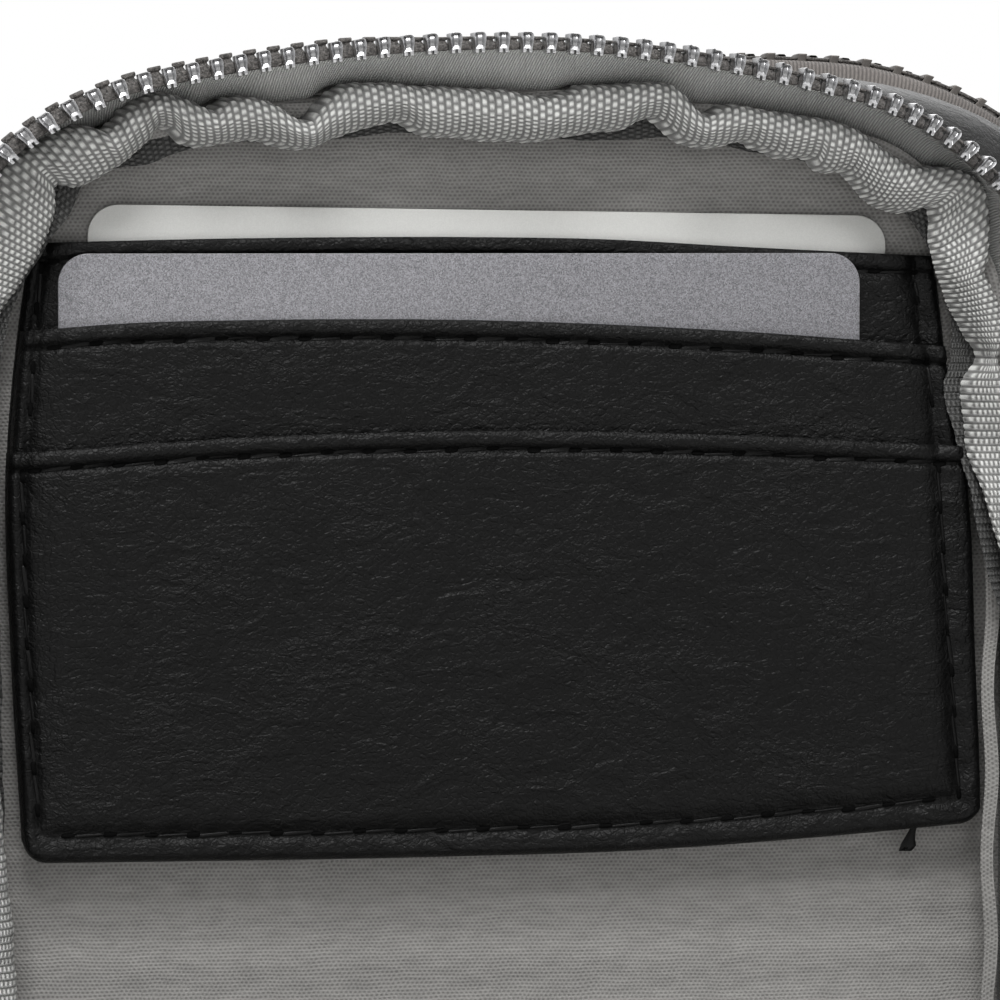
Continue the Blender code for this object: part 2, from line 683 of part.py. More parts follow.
build_middle()
build_pocket()
main_hinge = joint_empty("main_hinge", (0, -HINGE_DEPTH, HINGE_HEIGHT))
rear_hinge = joint_empty("rear_hinge", (0, HINGE_DEPTH, HINGE_HEIGHT))
build_compartment("main", "front", -1, main_hinge, POCKET_SLOTS_DEPTH)
build_compartment("rear", "back", 1, rear_hinge, 0.0)
build_slider("main", -1)
build_slider("rear", 1)
build_strap_loop("left", -1)
build_strap_loop("right", 1)

# The main compartment is opened: its front panel lies on the floor, outer face down
main_hinge.rotation_euler = (math.pi / 2, 0.0, 0.0)
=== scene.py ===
# %% [markdown]
# # A small zip bag, opened at its card pocket
#
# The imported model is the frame: plain solids at their real size and place. This lesson dresses it. Every
# cloth, ribbon, zip and stitch is modelled here and then rides on one of the frame's bodies, so that it
# moves when that body moves. Lengths are in metres, +Z is up, and the bag opens towards -Y.

# %% Load the frame
import json
import math

import bpy
import numpy as np
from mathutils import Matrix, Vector


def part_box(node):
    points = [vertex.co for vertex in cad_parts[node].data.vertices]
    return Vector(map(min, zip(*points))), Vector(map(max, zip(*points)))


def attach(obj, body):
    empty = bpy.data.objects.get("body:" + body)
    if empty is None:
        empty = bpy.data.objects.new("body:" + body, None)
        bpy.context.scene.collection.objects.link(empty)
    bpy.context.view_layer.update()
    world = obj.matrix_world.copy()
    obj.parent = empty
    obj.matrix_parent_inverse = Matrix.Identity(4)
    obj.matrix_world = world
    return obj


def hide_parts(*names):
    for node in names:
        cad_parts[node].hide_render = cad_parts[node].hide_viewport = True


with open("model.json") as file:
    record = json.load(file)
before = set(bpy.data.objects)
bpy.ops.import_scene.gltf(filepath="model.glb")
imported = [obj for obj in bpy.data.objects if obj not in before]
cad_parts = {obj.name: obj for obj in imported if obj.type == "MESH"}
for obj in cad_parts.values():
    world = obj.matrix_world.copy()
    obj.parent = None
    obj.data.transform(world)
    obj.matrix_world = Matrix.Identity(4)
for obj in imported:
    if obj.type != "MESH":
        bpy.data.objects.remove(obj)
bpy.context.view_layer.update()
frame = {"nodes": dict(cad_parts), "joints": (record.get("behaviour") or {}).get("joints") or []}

# %% [markdown]
# ## Working as by hand
#
# Blender's operators act on whatever is selected, and loading the frame leaves its nodes selected. So each
# step first selects nothing, then picks its own piece. A piece's points can also be read as one array of
# rows (x, y, z), moved by a formula and written back, which is how a flat cut of cloth is bent into place.

# %% Selecting, and moving points
UV_NAME = "cut"
MERGED_WITHIN = 0.000005


def deselect():
    """Leaves edit mode, and selects nothing."""
    active = bpy.context.view_layer.objects.active
    if active and active.mode != "OBJECT":
        bpy.ops.object.mode_set(mode="OBJECT")
    bpy.ops.object.select_all(action="DESELECT")


def pick(piece):
    """Makes this piece the only one selected."""
    deselect()
    piece.select_set(True)
    bpy.context.view_layer.objects.active = piece


def just_added(name):
    """Names the primitive that was just added."""
    piece = bpy.context.view_layer.objects.active
    piece.name = name
    piece.data.name = name
    return piece


def settle(piece):
    """Puts the piece's place, turn and scale into its mesh, so that its object sits at the origin."""
    pick(piece)
    bpy.ops.object.transform_apply(location=True, rotation=True, scale=True)


def points_of(piece):
    """The piece's points, one row (x, y, z) for each."""
    found = np.zeros(len(piece.data.vertices) * 3)
    piece.data.vertices.foreach_get("co", found)
    return found.reshape(-1, 3)


def move_points(piece, *columns):
    """Gives every point its new x, y and z."""
    placed = np.column_stack(np.broadcast_arrays(*columns))
    piece.data.vertices.foreach_set("co", placed.astype(np.float32).ravel())
    piece.data.update()


def write_cut(piece, u, v):
    """Writes the flat cut's own coordinates as a UV map, which patterns follow."""
    corners = np.zeros(len(piece.data.loops), dtype=np.int32)
    piece.data.loops.foreach_get("vertex_index", corners)
    if UV_NAME not in piece.data.uv_layers:
        piece.data.uv_layers.new(name=UV_NAME)
    layer = piece.data.uv_layers[UV_NAME]
    layer.data.foreach_set("uv", np.column_stack((u, v))[corners].astype(np.float32).ravel())


def with_modifier(piece, kind, **settings):
    """Adds a modifier, sets it and applies it."""
    pick(piece)
    step = piece.modifiers.new(kind.title(), kind)
    for name, value in settings.items():
        setattr(step, name, value)
    bpy.ops.object.modifier_apply(modifier=step.name)


def soften(piece, width, angle=30):
    """Bevels the edges that are sharper than this angle in degrees."""
    limit = math.radians(angle)
    with_modifier(piece, "BEVEL", width=width, segments=2, limit_method="ANGLE", angle_limit=limit)


def repeat(piece, count, pitch):
    """Makes a row of copies along X."""
    offset = {"use_relative_offset": False, "use_constant_offset": True}
    with_modifier(piece, "ARRAY", count=count, constant_offset_displace=(pitch, 0, 0), **offset)


def edit_all(piece):
    """Enters edit mode with all of the piece selected."""
    pick(piece)
    bpy.ops.object.mode_set(mode="EDIT")
    bpy.ops.mesh.select_all(action="SELECT")


def edit_some(piece, kind, rule):
    """Enters edit mode with only the faces or edges selected that pass the rule."""
    pick(piece)
    bpy.ops.object.mode_set(mode="EDIT")
    bpy.ops.mesh.select_mode(type=kind)
    bpy.ops.mesh.select_all(action="DESELECT")
    bpy.ops.object.mode_set(mode="OBJECT")
    for part in piece.data.polygons if kind == "FACE" else piece.data.edges:
        part.select = rule(part)
    bpy.ops.object.mode_set(mode="EDIT")


def facing_out(piece):
    """Merges doubled points, and turns all faces of a closed piece outwards."""
    edit_all(piece)
    bpy.ops.mesh.remove_doubles(threshold=MERGED_WITHIN)
    bpy.ops.mesh.normals_make_consistent(inside=False)
    bpy.ops.object.mode_set(mode="OBJECT")


def smooth(piece, angle=50):
    """Shades the piece smooth, but keeps edges sharper than this angle in degrees."""
    pick(piece)
    bpy.ops.object.shade_smooth_by_angle(angle=math.radians(angle))


# %% [markdown]
# Most pieces start as one of three primitives at unit size: a grid for what is cut from cloth or leather, a
# cube for what is solid, and a torus for what runs round and meets itself.

# %% Three primitives
def grid(name, columns, rows):
    """A flat square in the middle of the scene, with this many columns and rows."""
    deselect()
    bpy.ops.mesh.primitive_grid_add(x_subdivisions=columns, y_subdivisions=rows, size=1.0)
    return just_added(name)


def block(name, size, place=(0, 0, 0)):
    """A cube scaled to this size."""
    deselect()
    bpy.ops.mesh.primitive_cube_add(size=1.0)
    made = just_added(name)
    made.scale = size
    made.location = place
    settle(made)
    return made


def torus(name, turns, sides):
    """A torus, with each point's share of the way round it and its angle round the wire."""
    deselect()
    sizes = {"major_segments": turns, "minor_segments": sides, "major_radius": 1.0, "minor_radius": 0.1}
    bpy.ops.mesh.primitive_torus_add(**sizes)
    made = just_added(name)
    x, y, z = points_of(made).T
    return made, (np.arctan2(y, x) / (2 * math.pi)) % 1.0, np.arctan2(z, np.hypot(x, y) - 1.0)


print("grid, block and torus are ready")

# %% [markdown]
# ## The camera, the floor and the light
#
# The view is a close look at the card pocket, from a little to the left. The picture is 106 mm wide at the
# cards and taken from some half a metre away, so the lens is a long one. The floor is plain, the lamps are
# large and soft, and the world is white only to the camera, so that the background can be white while the
# bag is lit at a plain level. Reflections see it bright above and dim in front, as in a studio with a ceiling
# of light.

# %% Camera
VIEW_TARGET = Vector((0.00135, -0.0050, 0.1327))
VIEW_DISTANCE = 0.550
VIEW_WIDTH = 0.1063
VIEW_FROM_LEFT = math.radians(7.5)
VIEW_FROM_ABOVE = math.radians(3.0)
SENSOR = 36.0
CLIP_START = 0.01

view_back = Vector((
    -math.sin(VIEW_FROM_LEFT) * math.cos(VIEW_FROM_ABOVE),
    -math.cos(VIEW_FROM_LEFT) * math.cos(VIEW_FROM_ABOVE),
    math.sin(VIEW_FROM_ABOVE),
))
deselect()
bpy.ops.object.camera_add(
    location=VIEW_TARGET + view_back * VIEW_DISTANCE,
    rotation=(-view_back).to_track_quat("-Z", "Y").to_euler(),
)
camera = just_added("camera")
camera.data.sensor_width = SENSOR
camera.data.lens = SENSOR * VIEW_DISTANCE / VIEW_WIDTH
camera.data.clip_start = CLIP_START
bpy.context.scene.camera = camera
bpy.context.scene.view_settings.view_transform = "Standard"
print("lens", round(camera.data.lens), "mm")

# %% Floor, lamps and world
FLOOR_SIZE = 6.0
FLOOR_HEIGHT = -0.0002
AMBIENT = 0.21
MIRRORED_LOW = 0.14
MIRRORED_HIGH = 1.20

# Each lamp's place, its width in metres and its power in watts
LAMPS = {
    "key_lamp": ((-0.12, -0.64, 1.12), 0.50, 13.5),
    "fill_lamp": ((-0.10, -1.00, 0.15), 0.90, 2.3),
    "back_lamp": ((0.30, 0.80, 0.80), 0.80, 4.0),
}

deselect()
bpy.ops.mesh.primitive_plane_add(size=FLOOR_SIZE, location=(0, 0, FLOOR_HEIGHT))
floor = just_added("floor")

for name, (place, size, power) in LAMPS.items():
    deselect()
    towards = VIEW_TARGET - Vector(place)
    turn = towards.to_track_quat("-Z", "Y").to_euler()
    bpy.ops.object.light_add(type="AREA", location=place, rotation=turn)
    lamp = just_added(name)
    lamp.data.size = size
    lamp.data.energy = power
    lamp.visible_camera = False
    lamp.visible_glossy = name != "fill_lamp"

world = bpy.data.worlds.new("studio")
world.use_nodes = True
bpy.context.scene.world = world
print("lamps:", list(LAMPS))

# %% [markdown]
# ## Materials from expressions
#
# A node material is a sum written with boxes and wires. Here an output is wrapped in a small class, so the
# sum can be written as Python: `1 - mask * 0.3` adds its two Math nodes by itself. Every other node comes
# from one method that takes its type, its settings and what goes into its sockets.


# %% The wire and the finish
class Wire:
    """One output of a node. Python's operators on it add Math nodes."""

    def __init__(self, nodes, socket):
        self.nodes = nodes
        self.socket = socket

    def maths(self, operation, *values):
        return self.nodes.node("ShaderNodeMath", {"operation": operation}, dict(enumerate(values)))

    def __add__(self, other):
        return self.maths("ADD", self, other)

    def __sub__(self, other):
        return self.maths("SUBTRACT", self, other)

    def __rsub__(self, other):
        return self.maths("SUBTRACT", other, self)

    def __mul__(self, other):
        return self.maths("MULTIPLY", self, other)

    def __truediv__(self, other):
        return self.maths("DIVIDE", self, other)

    def __pow__(self, other):
        return self.maths("POWER", self, other)

    __radd__ = __add__
    __rmul__ = __mul__

    def sine(self):
        return self.maths("SINE", self)

    def whole(self):
        return self.maths("FLOOR", self)

    def part(self):
        return self.maths("FRACT", self)

    def at_least(self, low):
        return self.maths("MAXIMUM", self, low)

    def at_most(self, high):
        return self.maths("MINIMUM", self, high)

    def kept_in(self):
        """The same, but never below 0 or above 1."""
        return self.at_least(0.0).at_most(1.0)

    def hump(self):
        """Rises from 0 to 1 and falls to 0 again over each whole number."""
        return (self.part() * math.pi).sine()


class Nodes:
    """A tree of nodes. A value goes straight to its socket, and a wire is linked to it."""

    def __init__(self, tree):
        self.tree = tree

    def fill(self, node, sockets):
        for key, value in sockets.items():
            if isinstance(value, Wire):
                self.tree.links.new(value.socket, node.inputs[key])
            else:
                node.inputs[key].default_value = value

    def node(self, kind, settings, sockets, output=0):
        made = self.tree.nodes.new(kind)
        for key, value in settings.items():
            setattr(made, key, value)
        self.fill(made, sockets)
        return Wire(self, made.outputs[output])


class Finish(Nodes):
    """A Principled material with one colour of its own."""

    def __init__(self, name, colour, roughness, fixed=None):
        self.material = bpy.data.materials.new(name)
        self.material.use_nodes = True
        super().__init__(self.material.node_tree)
        self.shader = self.tree.nodes["Principled BSDF"]
        self.colour = colour
        self.fill(self.shader, {"Base Color": (*colour, 1.0), "Roughness": roughness, **(fixed or {})})

    def place(self):
        """Where a point is on the piece, in metres."""
        return self.node("ShaderNodeTexCoord", {}, {}, "Object")

    def cut(self):
        """The two coordinates of the flat cut."""
        uv = self.node("ShaderNodeUVMap", {"uv_map": UV_NAME}, {})
        return [self.node("ShaderNodeSeparateXYZ", {}, {0: uv}, axis) for axis in ("X", "Y")]

    def stretched(self, place, *scale):
        """The same place with its axes scaled. A pattern on it is longer where the scale is small."""
        return self.node("ShaderNodeVectorMath", {"operation": "MULTIPLY"}, {0: place, 1: scale})

    def noise(self, place, size, detail=2.0, roughness=0.5, distortion=0.0):
        """Soft random patches of about this size, from 0 to 1."""
        sockets = {"Vector": place, "Scale": 1 / size, "Detail": detail, "Roughness": roughness}
        return self.node("ShaderNodeTexNoise", {}, {**sockets, "Distortion": distortion})

    def cells(self, place, size, feature="F1", output="Distance"):
        """Random cells of about this size."""
        sockets = {"Vector": place, "Scale": 1 / size}
        return self.node("ShaderNodeTexVoronoi", {"feature": feature}, sockets, output)

    def mix(self, factor, first, second):
        """One colour where the factor is 0 and the other where it is 1."""
        colours = {6: (*first, 1.0), 7: (*second, 1.0), 0: factor}
        return self.node("ShaderNodeMix", {"data_type": "RGBA"}, colours, 2)

    def shades(self, factor, dark, light):
        """The finish's own colour, times dark where the factor is 0 and times light where it is 1."""
        return self.mix(factor, *([part * share for part in self.colour] for share in (dark, light)))

    def bump(self, height, distance, under=None):
        """Relief of this depth in metres, on top of another relief if there is one."""
        sockets = {"Height": height, "Distance": distance}
        if under:
            sockets["Normal"] = under
        return self.node("ShaderNodeBump", {}, sockets)

    def use(self, **links):
        """Leads wires to the shader's sockets: colour, roughness, normal."""
        names = {"colour": "Base Color", "roughness": "Roughness", "normal": "Normal"}
        self.fill(self.shader, {names[key]: value for key, value in links.items()})
        return self.material


print("wires and finishes are ready")

# %% [markdown]
# The floor and the world come first. Far from the bag the floor glows a little, so that it fades into the
# white behind it. The world reads Light Path, which tells the rays apart: one from the camera meets white,
# one from a reflection meets a light that grows with its height, and every other ray meets the dimmer light
# that fills the shadows.

# %% Floor finish and world light
GLOW_START = 0.7
GLOW_RUN = 2.0
FLOOR_GRAIN = 0.002
FLOOR_RELIEF = 0.00005
MIRRORED_FROM = -0.2
MIRRORED_TO = 0.8

floor_finish = Finish("floor_finish", (0.80, 0.80, 0.79), 0.7)
floor_place = floor_finish.place()
floor_grain = floor_finish.noise(floor_place, FLOOR_GRAIN, 3.0)
floor_far = floor_finish.node("ShaderNodeVectorMath", {"operation": "LENGTH"}, {0: floor_place}, "Value")
floor_glow = ((floor_far - GLOW_START) / GLOW_RUN).kept_in()
floor_glow = floor_finish.mix(floor_glow, (0.0, 0.0, 0.0), (0.9, 0.9, 0.9))
floor_finish.fill(floor_finish.shader, {"Emission Color": floor_glow, "Emission Strength": 1.0})
floor.data.materials.append(floor_finish.use(normal=floor_finish.bump(floor_grain, FLOOR_RELIEF)))

sky = Nodes(world.node_tree)
sky_place = sky.node("ShaderNodeTexCoord", {}, {}, "Generated")
mirrored = sky.node("ShaderNodeMapRange", {}, {
    "Value": sky.node("ShaderNodeSeparateXYZ", {}, {0: sky_place}, "Z"),
    "From Min": MIRRORED_FROM,
    "From Max": MIRRORED_TO,
    "To Min": MIRRORED_LOW,
    "To Max": MIRRORED_HIGH,
})
from_gloss, from_camera = (
    sky.node("ShaderNodeLightPath", {}, {}, output) for output in ("Is Glossy Ray", "Is Camera Ray")
)
lit = sky.node("ShaderNodeMix", {}, {0: from_gloss, 2: AMBIENT, 3: mirrored})
seen = sky.node("ShaderNodeMix", {}, {0: from_camera, 2: lit, 3: 1.0})
sky.fill(sky.tree.nodes["Background"], {"Color": (1.0, 1.0, 1.0, 1.0), "Strength": seen})
print("world light", AMBIENT)

# %% [markdown]
# ## Leather
#
# Two leathers are used, a satin one outside and a duller one on the pocket. Real grain is a net of fine
# creases round small pebbles, with longer wrinkles over it. Voronoi cells give the pebbles, and noise that
# is stretched and distorted gives the wrinkles. The black is never quite even, and the tops of the pebbles
# are rubbed a little smoother.

# %% Leather finishes
GRAIN_SIZE = 0.00062
WRINKLE_SIZE = 0.00078
CREASE_SIZE = 0.0042
LEATHER_PATCH = 0.010
GRAIN_DEPTH = 0.00004


def leather(name, colour, roughness, shine, coat=0.0):
    """Leather with grain, wrinkles and creases, each deeper than the one before."""
    fixed = {"Specular IOR Level": shine, "Coat Weight": coat, "Coat Roughness": 0.3}
    made = Finish(name, colour, roughness, fixed)
    place = made.place()
    pebbles = made.cells(place, GRAIN_SIZE, "DISTANCE_TO_EDGE")
    tops = (pebbles * 5.0).at_most(1.0)
    wrinkles = made.noise(made.stretched(place, 0.62, 1.0, 1.0), WRINKLE_SIZE, 3.0, 0.6, 1.2)
    creases = made.noise(made.stretched(place, 0.7, 1.0, 1.0), CREASE_SIZE, 3.0, 0.55, 1.2)
    patches = made.noise(place, LEATHER_PATCH, 3.0)
    worked = (patches * 3.0 - 0.9).at_least(0.45)
    relief = made.bump(creases, GRAIN_DEPTH * 12)
    relief = made.bump(wrinkles * worked, GRAIN_DEPTH * 6.4, relief)
    relief = made.bump(tops, GRAIN_DEPTH * 0.8, relief)
    shade = tops * 0.25 + patches * 0.35 + wrinkles * 0.4
    rough = roughness + 0.10 - tops * 0.06 + patches * 0.10
    return made.use(colour=made.shades(shade, 0.45, 1.55), roughness=rough, normal=relief)


outer_leather = leather("outer_leather", (0.010, 0.010, 0.010), 0.42, 0.25, 0.15)
soft_leather = leather("pocket_leather_finish", (0.0040, 0.0040, 0.0040), 0.32, 0.15)
print("leather grain in mm:", GRAIN_SIZE * 1000)

# %% [markdown]
# ## Woven cloth
#
# The lining is a plain nylon, with a small dark hole wherever its threads leave one, in a brick pattern. The
# zip tape is ribbed across, and its colour is painted darker below the crown as painted shade. The ribbon
# that binds the seams is a coarse grosgrain, whose threads show as light bricks with dark gaps; the glints on
# the bricks are painted highlights, and the leaf that lies hidden behind its fold is painted darker as
# painted shade. All three follow the cut's own coordinates, so that the threads run with the cloth.

# %% Cloth finishes
WEAVE_PITCH = 0.00050
FOLD_ROW = 40.0
ROW_SHARE = 0.80
TAPE_RIB = 0.00029
TAPE_DASH = 0.00075
# Below this height the tape's colour is painted darker, as painted shade
TAPE_SHADE_FROM = 0.1712
TAPE_SHADE_FROM_RUN = 0.0062

# The sizes of the random patches on each cloth, how far a thread drifts, and the depths of the reliefs
DRIFT = 0.006
DRIFT_ALONG = 0.0010
DRIFT_ACROSS = 0.0006
SLUB = 0.0009
NYLON_PATCH = 0.030
NYLON_RELIEF = 0.00006
TAPE_PATCH = 0.006
TAPE_RELIEF = 0.00012
LUMP = 0.00030
GLINT = 0.00028
LUMP_RELIEF = 0.0002
FLUFF = 0.00016
RIBBON_PATCH = 0.009
SINGLE_KNOT = 0.0007
RIBBON_RELIEF = 0.00022
PORE = 0.0007
PORE_RELIEF = 0.0001


def woven(name, colour, roughness):
    """A plain weave of a flat cut that is measured in metres, with a dark hole between its threads."""
    made = Finish(name, colour, roughness, {"Sheen Weight": 0.12, "Sheen Roughness": 0.4})
    along, across = made.cut()
    place = made.place()
    drift = made.noise(place, DRIFT, 2.0)
    rows = (across + drift * DRIFT_ACROSS) / (WEAVE_PITCH * ROW_SHARE)
    row = rows.whole()
    columns = (along + drift * DRIFT_ALONG) / WEAVE_PITCH + row * 0.5
    holes = (columns.hump() * rows.hump()) ** 1.7
    each_row = (row * 12.9898).sine()
    slubs = made.noise(made.stretched(place, 0.30, 1.0, 1.0), SLUB, 3.0)
    patches = made.noise(place, NYLON_PATCH, 2.0)
    shade = slubs * 0.50 + patches * 0.25 + (1 - holes) * 0.40 + each_row * 0.06 - 0.15
    normal = made.bump(1 - holes, NYLON_RELIEF)
    return made.use(colour=made.shades(shade, 0.36, 1.42), roughness=roughness + holes * 0.2, normal=normal)


def ribbed_tape(name, colour):
    """Zip tape, with fine ribs that are broken into short floats. Its colour is painted darker below the
    crown, as painted shade.
    """
    made = Finish(name, colour, 0.72, {"Sheen Weight": 0.10, "Sheen Roughness": 0.5})
    along, across = made.cut()
    ribs = (along / TAPE_RIB).hump()
    column = (along / TAPE_RIB).whole()
    floats = (across / TAPE_DASH + column * 0.5).hump()
    relief = ribs * (floats * 0.35 + 0.65)
    place = made.place()
    patches = made.noise(place, TAPE_PATCH, 3.0)
    # Painted shade: the tape's colour is darker below the crown
    height = made.node("ShaderNodeSeparateXYZ", {}, {0: place}, "Z")
    painted_height_light = ((height - TAPE_SHADE_FROM) / TAPE_SHADE_FROM_RUN).kept_in() * 0.55 + 0.45
    shade = (relief * 0.65 + patches * 0.35) * painted_height_light
    return made.use(colour=made.shades(shade, 0.38, 1.46), normal=made.bump(relief, TAPE_RELIEF))


def squeezed(name, colour):
    """The cord of a tape's edge, squeezed into dark and light knots between the teeth, with small painted
    highlights.
    """
    made = Finish(name, colour, 0.5, {"Specular IOR Level": 0.5})
    place = made.place()
    lumps = made.noise(place, LUMP, 3.0, 0.6)
    glints = made.cells(place, GLINT)
    # The glint cells add small bright specks to the colour, which are painted highlights
    shade = (lumps * 2.4 - 0.75).at_least(0.0) + (0.32 - glints).at_least(0.0) * 3.0
    return made.use(colour=made.shades(shade, 0.22, 2.4), normal=made.bump(lumps, LUMP_RELIEF))


def grosgrain(name, colour):
    """Binding ribbon. Its cut is counted in threads: columns along it, and rows across it."""
    fixed = {"Specular IOR Level": 0.45, "Sheen Weight": 0.10, "Sheen Roughness": 0.4}
    made = Finish(name, colour, 0.5, fixed)
    along, across = made.cut()
    column = along.whole()
    bricks = across + column * 0.5
    knots = (along.hump() ** 0.95) * ((bricks.hump() ** 0.95) * 0.86 + 0.14)
    fibres = (along * 2.0 + 0.5).hump()
    place = made.place()
    fluff = made.noise(place, FLUFF, 2.0)
    patches = made.noise(place, RIBBON_PATCH, 3.0)
    each = made.noise(place, SINGLE_KNOT, 0.0)
    relief = knots - fibres * 0.22 + fluff * 0.30
    # Painted shade: the leaf hidden behind the fold is darkened in the colour
    hidden_leaf_shade = ((across - FOLD_ROW + 0.5) / 1.5).kept_in() * 0.90 + 0.10
    # Painted highlights: the glints on the knots are lighter in the colour
    glints = (knots ** 2.2) * (1.0 - fibres * 0.40)
    shade = glints * (each * 1.3 + fluff * 0.90 + 0.20) + patches * 0.12 + fluff * 0.10
    rough = 0.66 - knots * 0.20
    colour = made.shades((shade + 0.16) * hidden_leaf_shade, 0.08, 2.60)
    return made.use(colour=colour, roughness=rough, normal=made.bump(relief, RIBBON_RELIEF))


def foam(name, colour, shine=0.5):
    """Foam with a fine open skin. It needs no flat cut."""
    made = Finish(name, colour, 0.85, {"Specular IOR Level": shine})
    pores = made.cells(made.place(), PORE)
    return made.use(colour=made.shades(pores, 0.8, 1.15), normal=made.bump(pores, PORE_RELIEF))


nylon = woven("lining_nylon", (0.255, 0.249, 0.239), 0.52)
inner_tape = ribbed_tape("inner_zip_tape", (0.525, 0.525, 0.512))
outer_tape = ribbed_tape("outer_zip_tape", (0.150, 0.135, 0.126))
knot_tape = squeezed("squeezed_tape", (0.066, 0.061, 0.057))
ribbon = grosgrain("binding_ribbon", (0.257, 0.257, 0.250))
print("weave in mm:", WEAVE_PITCH * 1000)

# %% [markdown]
# ## Metal, card and thread
#
# The teeth and fittings are plated and bright, with faint polishing marks. The sockets at the teeth's tips
# are painted darker, and the rear teeth get a darker copy of the plating; both are painted shade. The cards
# are satin plastic, the lighter one plain and the darker one with a metallic speckle; both are left blank.
# The thread is black and twisted, and where it sinks into the leather a very dark knot is painted shade for
# the needle hole.

# %% Hard finishes
SCRATCH = 0.0006
SCRATCH_RELIEF = 0.000012
TARNISH = 0.004
FLECK = 0.00012
CARD_BAND = 0.020
STRAND = 0.00022
STRAND_RELIEF = 0.00006


def plated(name, colour, roughness, sockets=False):
    """Bright plated metal with faint scratches. Sockets, marked by the cut's first coordinate, are painted
    darker, as painted shade in the hollow.
    """
    made = Finish(name, colour, roughness, {"Metallic": 1.0})
    place = made.place()
    marks = made.noise(place, SCRATCH, 5.0, 0.7)
    shade = made.noise(place, TARNISH, 2.0) * 0.30 + 0.70
    # Painted shade: the sockets are darkened in the colour
    if sockets:
        shade = shade * (1 - made.cut()[0] * 0.48)
    rough = roughness + marks * 0.14 - 0.05
    relief = made.bump(marks, SCRATCH_RELIEF)
    return made.use(colour=made.shades(shade, 0.10, 1.14), roughness=rough, normal=relief)


def printed_card(name, colour, metallic, fleck):
    """A satin card whose print holds fine metallic flecks."""
    made = Finish(name, colour, 0.36, {"Metallic": metallic, "Coat Weight": 0.10, "Coat Roughness": 0.25})
    place = made.place()
    flecks = made.cells(place, FLECK, output="Color")
    grey = made.node("ShaderNodeRGBToBW", {}, {0: flecks})
    bands = made.noise(place, CARD_BAND, 2.0)
    colour = made.shades(grey * fleck + bands * (1 - fleck), 1 - fleck * 0.8, 1 + fleck * 0.8)
    return made.use(colour=colour, roughness=grey * 0.12 + 0.30)


def twisted_thread(name, colour):
    """Thread whose strands wind round it, so that it catches the light in short dashes."""
    made = Finish(name, colour, 0.38, {"Specular IOR Level": 0.14})
    strands = made.noise(made.place(), STRAND, 3.0, 0.6)
    return made.use(colour=made.shades(strands, 0.5, 2.2), normal=made.bump(strands, STRAND_RELIEF))


nickel = plated("bright_nickel", (0.62, 0.62, 0.63), 0.26)
tooth_nickel = plated("tooth_nickel", (0.62, 0.62, 0.63), 0.26, True)
# A darker copy of the same nickel for the rear teeth: painted shade, as the rear zip lies in shadow
shaded_nickel = plated("shaded_nickel", (0.16, 0.148, 0.138), 0.42)
white_print = printed_card("white_card_print", (0.62, 0.62, 0.60), 0.0, 0.25)
silver_print = printed_card("silver_card_print", (0.212, 0.210, 0.225), 0.15, 0.85)
thread = twisted_thread("black_thread", (0.0042, 0.0042, 0.0042))
# Near-black knots at the needle holes, painted shade for the holes' depth
needle_hole_shade = foam("needle_hole_shade", (0.0030, 0.0030, 0.0030), 0.04)
foam_board = foam("foam_board", (0.30, 0.29, 0.27))
print("finishes:", len(bpy.data.materials))

# %% [markdown]
# ## The seam line
#
# Every panel of the bag has the same outline: straight sides, a flat crown and round shoulders and corners.
# Tapes, ribbons and piping all run along it, a little inside or outside. So the outline is written once, as
# straight stretches and arcs, and a length along it gives a place and the direction that points outwards.
# Its overall size is read from the frame's back panel.

# %% The outline, by length
panel_low, panel_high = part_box("back_panel")
HALF_WIDTH = panel_high.x
BOTTOM = panel_low.z
TOP = panel_high.z
CROWN_RADIUS = 0.190
SHOULDER_RADIUS = 0.026
CORNER_RADIUS = 0.014

shoulder_x = HALF_WIDTH - SHOULDER_RADIUS
corner_x = HALF_WIDTH - CORNER_RADIUS
corner_z = BOTTOM + CORNER_RADIUS
crown_z = TOP - CROWN_RADIUS
shoulder_rise = math.sqrt((CROWN_RADIUS - SHOULDER_RADIUS) ** 2 - shoulder_x**2)
shoulder_z = crown_z + shoulder_rise
shoulder_angle = math.atan2(shoulder_rise, shoulder_x)


